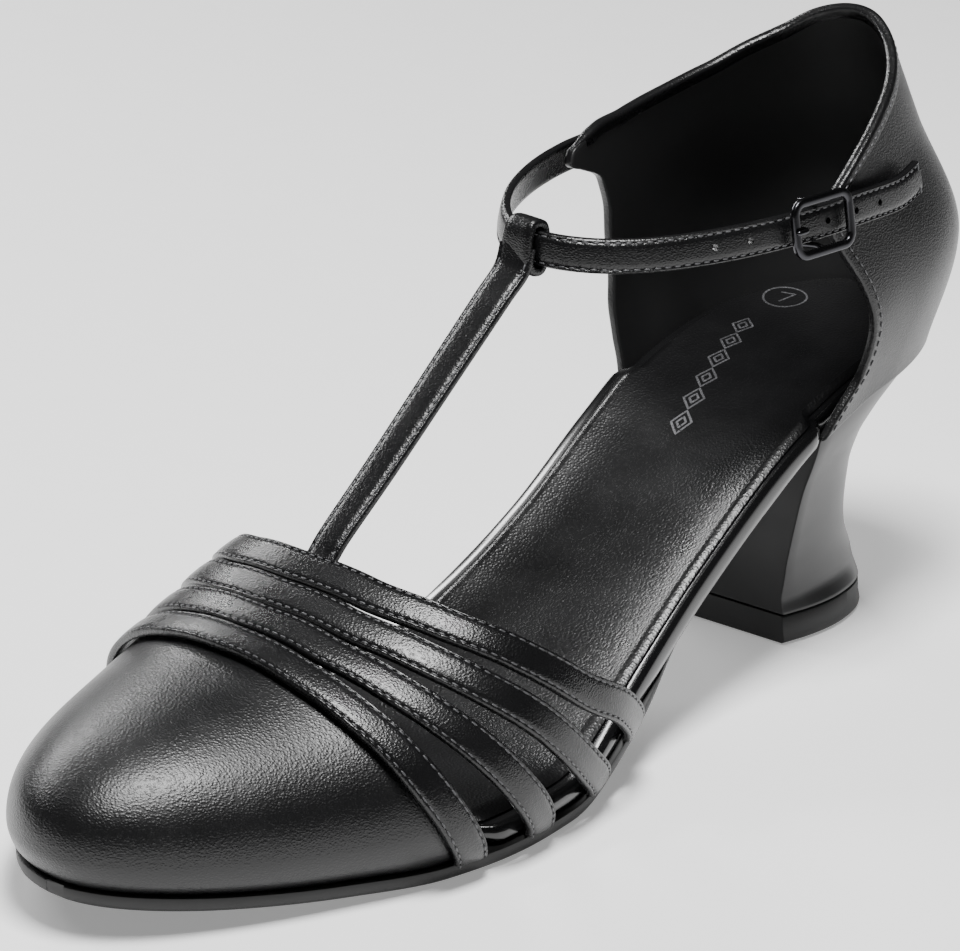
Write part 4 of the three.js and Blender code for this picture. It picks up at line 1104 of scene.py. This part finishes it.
@dataclass
class Upper:
    """Closed toe, instep straps, T-strap and quarter with their stitching."""

    looks: Looks
    stitches: StitchRows
    vamp_wall: float = 1.6
    quarter_wall: float = 1.8
    strap_width: float = 6.6
    strap: float = 1.7
    clearance: float = 0.3
    first_ease: float = 0.25
    stitch_inset: float = 1.8
    binding: float = 2.3
    shingle: float = 4.0

    def toe(self) -> bpy.types.Object:
        """Closed toe: a hollow wall from the first strap to the tip."""
        rows, columns = 90, 150
        even = np.linspace(0, 1, columns)
        around = mix(even, (1 - np.cos(np.pi * even)) / 2, 0.45)
        edge = INSTEP_STRAPS.read(around, "first") - 0.004
        share = 1 - (1 - np.linspace(0, 1, rows)) ** 2.5
        along = mix(edge[None, :], 1.0, share[:, None])
        grid = LAST.forepart(along, np.broadcast_to(around, along.shape))
        return wall_object("closed_toe", grid, self.vamp_wall, self.looks.upper, self.looks.lining,
                           np.array([0, -0.4, 1.0]), 0.3)

    def instep_strip(self, name: str, stations: int = 240) -> Strip:
        """Stations of one instep strap, from its outer foot to its inner foot.

        Args:
            name: column of the strap table.
            stations: number of stations.

        Returns:
            The strap's stations.
        """
        dense = np.linspace(0, 1, 900)
        line = LAST.forepart(INSTEP_STRAPS.read(dense, name), dense)
        marks = np.r_[0, np.cumsum(np.linalg.norm(np.diff(line, axis=0), axis=1))]
        around = np.interp(np.linspace(0, marks[-1], stations), marks, dense)
        at, out = LAST.forepart_frame(INSTEP_STRAPS.read(around, name), around)
        run = unit(np.gradient(at, axis=0))
        across = unit(np.cross(out, run))
        bed = self.strap / 2 + self.clearance + (self.first_ease if name == "first" else 0.0)
        at = at + out * bed
        ends = [at[:1] - run[:1] * 3.3, at[-1:] + run[-1:] * 3.3]
        at = np.vstack([ends[0], at, ends[1]])
        run, across, out = (np.vstack([part[:1], part, part[-1:]]) for part in (run, across, out))
        full = np.full(len(at), 1.0)
        return Strip(at, run, across, out, full * self.strap_width / 2, full * self.strap / 2)

    def row_on(self, strip: Strip, side: float, start: float = 1.5, stop: float = 1.5) -> None:
        """Lay a stitch row in a strap's stitch line."""
        line = strip.point(np.full(len(strip.at), side * STITCH_LINE), 0.66)
        self.stitches.add(line, strip.out, start, stop)

    def instep_straps(self) -> None:
        """Four folded straps across the forepart, each tilted a little over the next."""
        for index, name in enumerate(("first", "second", "third", "fourth")):
            strip = self.instep_strip(name).tilted(self.shingle)
            piece = strap_object(f"instep_strap_{name}", strip, self.looks.strap, self.stitches.pitch,
                                 lambda grid: LAST.height((LAST.seat_back - grid[..., 1]) / LAST.length))
            seat(piece, Slot.UPPER, *(("t_strap_and_instep_straps",) if index == 0 else ()))
            for side in (-1, 1):
                self.row_on(strip, side, 5.0, 5.0)

    def t_strap(self, ankle: "AnkleStrap") -> None:
        """T-strap from under the fourth strap to its loop round the ankle strap."""
        rear = float(INSTEP_STRAPS.read(0.5, "fourth")) - self.strap_width * 0.4 / LAST.length
        start = LAST.forepart(rear + 0.028, 0.5)
        foot = LAST.forepart(rear, 0.5)
        top, out = ankle.strip.at[ankle.index(ankle.loop)], ankle.strip.out[ankle.index(ankle.loop)]
        end = top + out * (ankle.thick / 2 + self.clearance + ankle.loop_wall * 0.55)
        knee = end + np.array([0, -1.6, -ankle.width * 0.62])
        knots = [start, foot, foot + (knee - foot) * 0.06 + [0, 0, 0.4], *[foot + (knee - foot) * s for s in (0.3, 0.62, 0.9)],
                 knee, end]
        path = Path(knots)
        distance = np.arange(0, path.length, 0.5)
        at, run = path.at(distance), path.run(distance)
        out_way = unit(np.stack([0 * distance, -run[:, 2], run[:, 1]], -1))
        share = distance / path.length
        width = mix(6.4, 7.9, share)
        strip = Strip(at, run, np.tile([1.0, 0, 0], (len(at), 1)), out_way, width / 2,
                      np.full(len(at), 1.6 / 2))
        seat(strap_object("t_strap", strip, self.looks.strap, self.stitches.pitch), Slot.UPPER)
        for side in (-1, 1):
            self.row_on(strip, side, 7.0, 3.5)

    def top_height(self, forward: Array, side: int) -> Array:
        """Height of the quarter's topline over the feather line."""
        return LAST.back_height * TOPLINE.read(forward / LAST.seat_round, "lateral" if side > 0 else "medial")

    def quarter_point(self, share: Array | float, turn: Array | float) -> Array:
        """Points on the quarter's outer face.

        Args:
            share: share of the height, 1 at the topline.
            turn: 1 at the outer front edge, 0 at the back, -1 at the inner front edge.

        Returns:
            Points, in millimetres.
        """
        share, turn = np.broadcast_arrays(np.asarray(share, float), np.asarray(turn, float))
        outer, inner = QUARTER_FRONT.read(share, "lateral"), QUARTER_FRONT.read(share, "medial")
        forward = LAST.seat_round * np.where(turn > 0, outer, inner) * turn**2
        top = np.where(turn > 0, self.top_height(forward, 1), self.top_height(forward, -1))
        return LAST.backpart(forward, share * top, np.where(turn > 0, 1.0, -1.0))

    def quarter_normal(self, share: Array, turn: Array) -> Array:
        """Outward normals of the quarter's outer face."""
        step = 0.004
        rise = self.quarter_point(np.minimum(share + step, 1), turn) - self.quarter_point(np.maximum(share - step, 0), turn)
        sweep = self.quarter_point(share, np.minimum(turn + step, 1)) - self.quarter_point(share, np.maximum(turn - step, -1))
        return unit(np.cross(sweep, rise)) * -1.0

    def quarter(self) -> None:
        """Hollow back of the shoe, its folded binding and its stitch rows."""
        rows, columns = 60, 181
        turn = np.linspace(1, -1, columns)
        share = np.linspace(0, 1, rows)
        grid = self.quarter_point(share[:, None], turn[None, :])
        normal = self.quarter_normal(np.full(columns, 0.5), turn)
        if (normal[columns // 2] @ np.array([0, 1.0, 0])) < 0:
            normal = -normal
        piece = wall_object("quarter_shell", grid, self.quarter_wall, self.looks.upper, self.looks.lining,
                            np.array([0.0, 1.0, 0.0]), 0.5)
        seat(piece, Slot.UPPER, "quarter")
        self.collar(turn)
        self.edge_rows()

    def outward(self, share: Array, turn: Array) -> Array:
        """Normals of the quarter that surely point away from the foot."""
        normal = self.quarter_normal(share, turn)
        away = self.quarter_point(share, turn) - np.array([LAST.seat_shift, 5.0, 0.0])
        away[..., 2] = 0
        sign = np.sign((normal * away).sum(-1, keepdims=True))
        return normal * np.where(sign == 0, 1, sign)

    def collar(self, turn: Array) -> None:
        """Binding folded over the topline."""
        ones = np.ones_like(turn)
        edge = self.quarter_point(ones, turn)
        below = self.quarter_point(ones * 0.95, turn)
        down = unit(below - edge)
        out = self.outward(ones, turn)
        out = unit(out - down * (out * down).sum(-1, keepdims=True))
        wall = self.quarter_wall
        section = [(-0.05, self.binding + 0.05), (0.1, self.binding), (0.16, self.binding - 0.2), (0.12, 1.5), (0.2, 1.0),
                   (0.22, 0.5), (0.12, 0.05), (-0.2, -0.28), (-wall / 2, -0.38), (-wall + 0.2, -0.28),
                   (-wall - 0.12, 0.05), (-wall - 0.22, 0.5), (-wall - 0.2, 1.2), (-wall - 0.16, self.binding - 0.2),
                   (-wall + 0.05, self.binding)]
        left = np.r_[np.cumsum(np.linalg.norm(np.diff(edge[::-1], axis=0), axis=1))[::-1], 0.0]
        fade = np.clip(0.15 + left / 7.0, 0, 1)[:, None]
        grid = np.stack([edge + out * mix(-wall / 2, a, fade) + down * (b * fade) for a, b in section], 1)
        count, size = grid.shape[:2]
        faces = grid_faces(count, size, closed=True)
        faces += [tuple(range(size)), tuple((count - 1) * size + i for i in reversed(range(size)))]
        seat(solid_object("collar_binding", grid, faces, self.looks.strap, sharp=60.0), Slot.UPPER)
        self.stitches.add(edge + out * 0.14 + down * (self.binding - 0.8), out, 1.0, 1.0)

    def edge_rows(self) -> None:
        """Stitch rows inside the quarter's two front edges."""
        share = np.linspace(0.03, 0.95, 120)
        for side in (1, -1):
            front = LAST.seat_round * QUARTER_FRONT.read(share, "lateral" if side > 0 else "medial")
            turn = side * (1 - self.stitch_inset / (2 * front))
            self.stitches.add(self.quarter_point(share, turn) + self.outward(share, turn) * 0.08,
                              self.outward(share, turn))

    def build(self, ankle: "AnkleStrap") -> None:
        """Make and seat the upper's pieces."""
        seat(self.toe(), Slot.UPPER, "vamp")
        self.instep_straps()
        self.t_strap(ankle)
        self.quarter()


@dataclass
class AnkleStrap:
    """Ankle strap from the inner ear to its tail, the T-strap's loop and the buckle."""

    looks: Looks
    stitches: StitchRows
    width: float = 6.3
    thick: float = 1.8
    reach: float = 107.6
    level: float = 88.8
    medial_level: float = 93.0
    centre: float = 1.0
    lean: float = 0.17
    clearance: float = 0.3
    tab_wall: float = 0.75
    loop_wall: float = 1.4
    loop_length: float = 8.4
    buckle_length: float = 16.0
    buckle_height: float = 11.4
    band: float = 1.7
    depth: float = 1.4
    corner: float = 2.6
    bar: float = 0.7
    tab_length: float = 7.8

    def __post_init__(self) -> None:
        """Lay the path and find the loop and the buckle on it."""
        self.path = self.route()
        distance = np.arange(0, self.path.length, 0.45)
        at, run = self.path.at(distance), self.path.run(distance)
        run[:, 2] = 0
        run = unit(run)
        outward = np.stack([run[:, 1], -run[:, 0], 0 * distance], -1)
        across = unit(np.array([0, 0, 1.0]) - outward * self.lean)
        out = unit(np.cross(run, across))
        tail = np.clip((self.path.length - distance) / 0.5, 0.05, 1)
        full = np.full(len(distance), 1.0)
        self.distance = distance
        self.strip = Strip(at, run, across, out, full * self.width / 2 * (0.93 + 0.07 * np.sqrt(1 - (1 - tail) ** 2)),
                           full * self.thick / 2)
        self.loop = self.path.nearest(
            lambda p: np.abs(p[:, 0] - self.centre + 1.5) + np.where(p[:, 1] > float(LAST.back_y(0.4)), 228.0, 0.0))
        ear = LAST.over_quarter(1.36 * LAST.seat_round, self.level, 1, 0.0)
        self.buckle = self.path.nearest(
            lambda p: np.abs(p[:, 1] - ear[1] + self.buckle_length * 0.83) + np.where(p[:, 0] < 0, 228.0, 0.0))

    def route(self) -> Path:
        """Path of the strap's middle."""
        lift = self.clearance + self.thick / 2
        front = LAST.seat_back - self.reach
        ear_at, tail_at = 1.36 * LAST.seat_round, 0.77 * LAST.seat_round
        root = LAST.over_quarter(1.62 * LAST.seat_round, self.medial_level, -1, lift + self.clearance)
        ear = LAST.over_quarter(ear_at, self.level, 1, 2 * self.clearance + 2 * self.tab_wall + self.thick / 2)
        heel = LAST.over_quarter(mix(ear_at, tail_at, 0.62), self.level - 0.6, 1, lift + 3 * self.clearance)
        tail = LAST.over_quarter(tail_at, self.level + 0.4, 1, lift + 2.6 * self.clearance)

        def bend(side: int, start: Array, degrees: float, level: float) -> Array:
            """Point of the strap's curve round the instep."""
            angle = math.radians(degrees)
            x = mix(self.centre, start[0], math.cos(angle) ** (0.94 if side > 0 else 1.0))
            return np.array([x, mix(start[1], front, math.sin(angle)), level])

        inner = [bend(-1, root, d, mix(self.level + 0.6, self.medial_level, math.cos(math.radians(d)) ** 2))
                 for d in (12, 28, 44, 58, 70, 81)]
        outer = [bend(1, ear, d, self.level + 0.6 * min(max((d - 60) / 30, 0), 1))
                 for d in (90, 80, 68, 55, 42, 30, 18, 8)]
        outer[0][0] = self.centre
        return Path([root, *inner, *outer, ear, heel, tail])

    def index(self, distance: float) -> int:
        """Station nearest to a distance along the strap."""
        return int(np.argmin(np.abs(self.distance - distance)))

    def strap_piece(self) -> bpy.types.Object:
        """The strap with its punched holes."""
        piece = strap_object("ankle_strap_band", self.strip, self.looks.strap, self.stitches.pitch)
        cutters = []
        for offset in (-24.0, -16.3, -5.0, 2.9, 10.8, 18.7):
            i = self.index(self.buckle + offset)
            out = self.strip.out[i]
            ends = np.array([self.strip.at[i] - out * 2.2, self.strip.at[i] + out * 2.2])
            cutters.append(rod_object(f"cutter_{i}", ends, np.array([0.62, 0.62]), self.looks.shade, 20))
        for cutter in cutters:
            cut = piece.modifiers.new("hole", "BOOLEAN")
            cut.operation, cut.object, cut.solver = "DIFFERENCE", cutter, "EXACT"
            settle(piece, 50.0)
            bpy.data.objects.remove(cutter)
        return piece

    def hole_rims(self) -> None:
        """Pressed rims round the holes that show."""
        for number, offset in enumerate((-24.0, -16.3, 2.9, 10.8, 18.7)):
            i = self.index(self.buckle + offset)
            turn = np.linspace(0, 2 * np.pi, 28, endpoint=False)[:, None]
            centre = self.strip.at[i] + self.strip.out[i] * (self.thick / 2 + 0.01)
            ring = centre + 0.7 * (np.cos(turn) * self.strip.run[i] + np.sin(turn) * self.strip.across[i])
            seat(rod_object(f"hole_rim_{number + 1}", ring, np.full(28, 0.07), self.looks.strap, 8, closed=True), Slot.UPPER)

    def loop_piece(self) -> bpy.types.Object:
        """Folded loop of the T-strap round the ankle strap."""
        ring = np.linspace(0, 2 * np.pi, 64, endpoint=False)
        power = 0.72
        shape = np.stack([np.sign(np.sin(ring)) * np.abs(np.sin(ring)) ** power,
                          np.sign(np.cos(ring)) * np.abs(np.cos(ring)) ** power], -1)
        a, b = self.width / 2 + self.clearance + 0.25, self.thick / 2 + self.clearance + 0.3

        rim = self.loop_wall
        profile = [(0.0, -0.93), (0.0, 0.93), (0.15, 0.98), (rim * 0.45, 1.0), (rim * 0.8, 0.97), (rim, 0.88)]
        profile += [(rim * 1.04, s) for s in (0.6, 0.3, 0.0, -0.3, -0.6)]
        profile += [(rim, -0.88), (rim * 0.8, -0.97), (rim * 0.45, -1.0), (0.15, -0.98)]
        centre, run = self.strip.at[self.index(self.loop)], self.strip.run[self.index(self.loop)]
        rows = []
        for grow, share in profile:
            across = self.strip.across[self.index(self.loop)]
            out = self.strip.out[self.index(self.loop)]
            narrow = 1 - 0.24 * ((shape[:, 0] + 1) / 2) ** 0.8
            offset = run * (share * self.loop_length / 2) * narrow[:, None]
            rows.append(centre + offset + (shape[:, 0] * (a + grow))[:, None] * across
                        + (shape[:, 1] * (b + grow))[:, None] * out)
        grid = np.array(rows + rows[:1])
        return solid_object("t_strap_loop", grid, grid_faces(len(rows) + 1, 64, closed=True), self.looks.strap, sharp=60.0)

    def on_buckle(self, run: Array | float, rise: Array | float, lift: Array | float) -> Array:
        """Points in the buckle's own frame."""
        i = self.index(self.buckle)
        part = [np.asarray(v, float)[..., None] for v in (run, rise, lift)]
        return self.strip.at[i] + part[0] * self.strip.run[i] + part[1] * self.strip.across[i] + part[2] * self.strip.out[i]

    def frame(self) -> bpy.types.Object:
        """Buckle's ring, with a rounded band."""
        lift = self.thick / 2 + 2 * self.clearance + self.depth / 2
        long, high = (self.buckle_length - self.band) / 2, (self.buckle_height - self.band) / 2
        radius = self.corner + 0.5 - self.band / 2
        line = []
        for k, (sx, sy) in enumerate(((1, 1), (-1, 1), (-1, -1), (1, -1))):
            turn = np.linspace(k * np.pi / 2, (k + 1) * np.pi / 2, 10)
            line.append(np.stack([sx * (long - radius) + radius * np.cos(turn), sy * (high - radius) + radius * np.sin(turn)], -1))
        line = np.vstack(line)
        run = unit(np.roll(line, -1, 0) - np.roll(line, 1, 0))
        side = np.stack([run[:, 1], -run[:, 0]], -1)
        section = np.array([(math.cos(t) * abs(math.cos(t)) ** -0.35 if abs(math.cos(t)) > 1e-6 else 0.0,
                             math.sin(t) * abs(math.sin(t)) ** -0.35 if abs(math.sin(t)) > 1e-6 else 0.0)
                            for t in np.linspace(0, 2 * np.pi, 16, endpoint=False)])
        grid = np.stack([self.on_buckle(line[:, 0] + side[:, 0] * a * self.band / 2, line[:, 1] + side[:, 1] * a * self.band / 2,
                                        np.full(len(line), lift + b * self.depth / 2)) for a, b in section], 1)
        grid = np.concatenate([grid, grid[:1]])
        ring = solid_object("buckle_ring", grid, grid_faces(len(line) + 1, 16, closed=True), self.looks.gunmetal)
        seat(ring, Slot.METAL, "buckle_frame")
        back = -(self.thick / 2 + 2 * self.clearance + self.tab_wall + self.bar)
        leg, foot = (self.buckle_height - self.band) / 2, self.width / 2 + self.clearance + self.bar
        slope = np.interp(np.linspace(0, 1, 6), (0, 0.35, 1), (leg, foot, foot))
        rise = np.r_[slope, np.linspace(foot, -foot, 9)[1:-1], -slope[::-1]]
        deep = np.r_[np.linspace(lift, back, 6), np.full(7, back), np.linspace(back, lift, 6)]
        points = self.on_buckle(np.zeros(len(rise)), rise, deep)
        seat(rod_object("buckle_bar", points, np.full(len(points), self.bar * 0.85), self.looks.gunmetal, 16), Slot.METAL)
        return ring

    def prong(self) -> None:
        """Prong from the middle bar, out through the strap's hole, to the ring."""
        lift = self.thick / 2 + 2 * self.clearance + self.depth / 2
        back = -(self.thick / 2 + 2 * self.clearance + self.tab_wall + self.bar)
        rest = lift + self.depth / 2 + self.clearance + 0.5
        edge, hole, eye = -self.buckle_length / 2, -self.buckle_length * 0.3, self.bar + self.clearance
        knots = self.on_buckle(
            np.array([-eye - 0.3, hole + 1, hole, edge + self.band + 0.5, edge + self.band / 2, edge - 0.6]), np.zeros(6),
            np.array([back + 0.2, -self.thick / 2 - 0.2, self.thick / 2 + 0.1, rest - 0.1, rest + 0.1, rest]))
        path = Path(knots, 12)
        spots = np.linspace(0, path.length, 46)
        radii = 0.5 * np.sqrt(np.clip((path.length - spots) / 0.5, 0.02, 1))
        seat(rod_object("buckle_prong_arm", path.at(spots), radii, self.looks.gunmetal), Slot.METAL, "buckle_prong")
        turn = np.linspace(0, 2 * np.pi, 40, endpoint=False)
        ring = self.on_buckle((eye + 0.35) * np.cos(turn), 0 * turn, back + (eye + 0.35) * np.sin(turn))
        seat(rod_object("buckle_prong_eye", ring, np.full(40, 0.36), self.looks.gunmetal, 12, closed=True), Slot.METAL)

    def tab(self) -> None:
        """Leather tab folded round the middle bar, on the quarter."""
        back = -(self.thick / 2 + 2 * self.clearance + self.tab_wall + self.bar)
        inner, outer = self.bar + self.clearance, self.bar + self.clearance + self.tab_wall
        turn = np.linspace(0.15, 2 * np.pi - 0.75, 40)
        line = [(outer * math.cos(t), back + outer * math.sin(t)) for t in turn[::-1]]
        line += [(inner * math.cos(t), back + inner * math.sin(t)) for t in turn]
        high = back + outer
        low = high - 2 * self.tab_wall
        tongue = [(inner, low), (self.tab_length, low), (self.tab_length, high), (0.0, high)]
        for number, (low, top) in enumerate(((-2.5, -0.95), (0.95, 2.5))):
            ring = [np.stack([self.on_buckle(x, rise, z) for rise in (low, top)]) for x, z in line]
            grid = np.array(ring)
            faces = grid_faces(len(line), 2)
            faces += [((len(line) - 1) * 2, (len(line) - 1) * 2 + 1, 1, 0)]
            piece = solid_object(f"buckle_tab_fold_{number + 1}", grid, faces, self.looks.strap, sharp=50.0)
            work = bmesh.new()
            work.from_mesh(piece.data)
            bmesh.ops.holes_fill(work, edges=work.edges)
            bmesh.ops.recalc_face_normals(work, faces=work.faces)
            work.to_mesh(piece.data)
            work.free()
            seat(piece, Slot.UPPER, *(("buckle_tab",) if number == 0 else ()))
        corners = [self.on_buckle(x, rise, z) for rise in (-2.5, 2.5) for x, z in tongue]
        plate = solid_object("buckle_tab_tongue", np.array(corners), [
            (0, 1, 2, 3), (7, 6, 5, 4), (0, 4, 5, 1), (1, 5, 6, 2), (2, 6, 7, 3), (3, 7, 4, 0)], self.looks.strap)
        soft = plate.modifiers.new("edge", "BEVEL")
        soft.width, soft.segments = 0.2 * MM, 2
        seat(settle(plate), Slot.UPPER)

    def build(self) -> None:
        """Make and seat the strap, its loop and the buckle."""
        seat(self.strap_piece(), Slot.UPPER, "ankle_strap")
        self.hole_rims()
        seat(self.loop_piece(), Slot.UPPER)
        self.frame()
        self.prong()
        self.tab()
        for side in (-1, 1):
            line = self.strip.point(np.full(len(self.strip.at), side * STITCH_LINE), 0.66)
            self.stitches.add(line, self.strip.out, 1.5, 1.4)
        i = self.index(self.path.length - 1.3)
        end = np.array([self.strip.at[i] + self.strip.across[i] * s * self.width / 2 * 0.7
                        + self.strip.out[i] * self.thick / 2 * 0.95 for s in (-1, -0.3, 0.3, 1)])
        self.stitches.add(end, np.tile(self.strip.out[i], (4, 1)))


# ---------------------------------------------------------------- studio


@dataclass
class Studio:
    """Pale floor, soft lights and the camera at the photograph's angle."""

    azimuth: float = 40.2776
    elevation: float = 20.8609
    roll: float = 0.1958
    distance: float = 818.608
    target: tuple[float, float, float] = (-2.5415, -80.0, 47.547)
    focal: float = 170.11

    def camera(self) -> None:
        """Camera that sees the shoe as the photograph does."""
        az, el, roll = (math.radians(v) for v in (self.azimuth, self.elevation, self.roll))
        back = Vector((math.sin(az) * math.cos(el), -math.cos(az) * math.cos(el), math.sin(el)))
        right = Vector((math.cos(az), math.sin(az), 0))
        up = back.cross(right)
        turned = right * math.cos(roll) + up * math.sin(roll)
        upright = up * math.cos(roll) - right * math.sin(roll)
        data = bpy.data.cameras.new("photo_camera")
        data.lens, data.sensor_width, data.sensor_fit = self.focal, 36.0, "HORIZONTAL"
        data.clip_start, data.clip_end = 0.05, 50.0
        eye = bpy.data.objects.new("photo_camera", data)
        spot = (Vector(self.target) + back * self.distance) * MM
        eye.matrix_world = Matrix.Translation(spot) @ Matrix((turned, upright, back)).transposed().to_4x4()
        bpy.context.scene.collection.objects.link(eye)
        bpy.context.scene.camera = eye

    def light(self, name: str, spot: tuple[float, float, float], aim: tuple[float, float, float],
              size: tuple[float, float], power: float) -> None:
        """Add a soft box.

        Args:
            name: the light's name.
            spot: its place, in metres.
            aim: the point it faces, in metres.
            size: width and height, in metres.
            power: watts.
        """
        data = bpy.data.lights.new(name, "AREA")
        data.shape, data.size, data.size_y, data.energy = "RECTANGLE", size[0], size[1], power
        lamp = bpy.data.objects.new(name, data)
        lamp.location = spot
        lamp.rotation_euler = (Vector(aim) - Vector(spot)).to_track_quat("-Z", "Y").to_euler()
        bpy.context.scene.collection.objects.link(lamp)

    def floor(self) -> None:
        """Pale floor."""
        mesh = bpy.data.meshes.new("studio_floor")
        mesh.from_pydata([(-6, -6, -0.0004), (6, -6, -0.0004), (6, 6, -0.0004), (-6, 6, -0.0004)], [], [(0, 1, 2, 3)])
        paper = Finish("white_paper_sweep", "#f4f4f4", "#f6f6f6", 0.75, cell=2.0, depth=0.0).material()
        shader = next(n for n in paper.node_tree.nodes if n.type == "BSDF_PRINCIPLED")
        shader.inputs["Emission Color"].default_value = linear("#ffffff")
        shader.inputs["Emission Strength"].default_value = 0.3
        mesh.materials.append(paper)
        sheet = bpy.data.objects.new("studio_floor", mesh)
        bpy.context.scene.collection.objects.link(sheet)

    def build(self) -> None:
        """Set the stage."""
        self.floor()
        self.light("overhead_softbox", (0.1, -0.16, 0.86), (0.0, -0.15, 0.03), (0.32, 0.26), 14.0)
        self.light("sock_strip", (-0.77, 0.05, 0.46), (0.015, -0.05, 0.03), (0.7, 0.07), 4.5)
        world = bpy.data.worlds.new("studio_world")
        world.use_nodes = True
        world.node_tree.nodes["Background"].inputs["Color"].default_value = linear("#ffffff")
        world.node_tree.nodes["Background"].inputs["Strength"].default_value = 0.06
        bpy.context.scene.world = world
        self.camera()


def main() -> None:
    """Build every piece in order."""
    logging.basicConfig(level=logging.INFO, format="%(message)s")
    LOG.info("frame with %d nodes", len(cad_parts))
    looks = Looks()
    stitches = StitchRows()
    Studio().build()
    Bottom(looks).build()
    HeelBlock(looks).build()
    ankle = AnkleStrap(looks, stitches)
    Upper(looks, stitches).build(ankle)
    ankle.build()
    seat(stitches.build("stitching", looks.thread), Slot.UPPER)


if __name__ == "__main__":
    main()
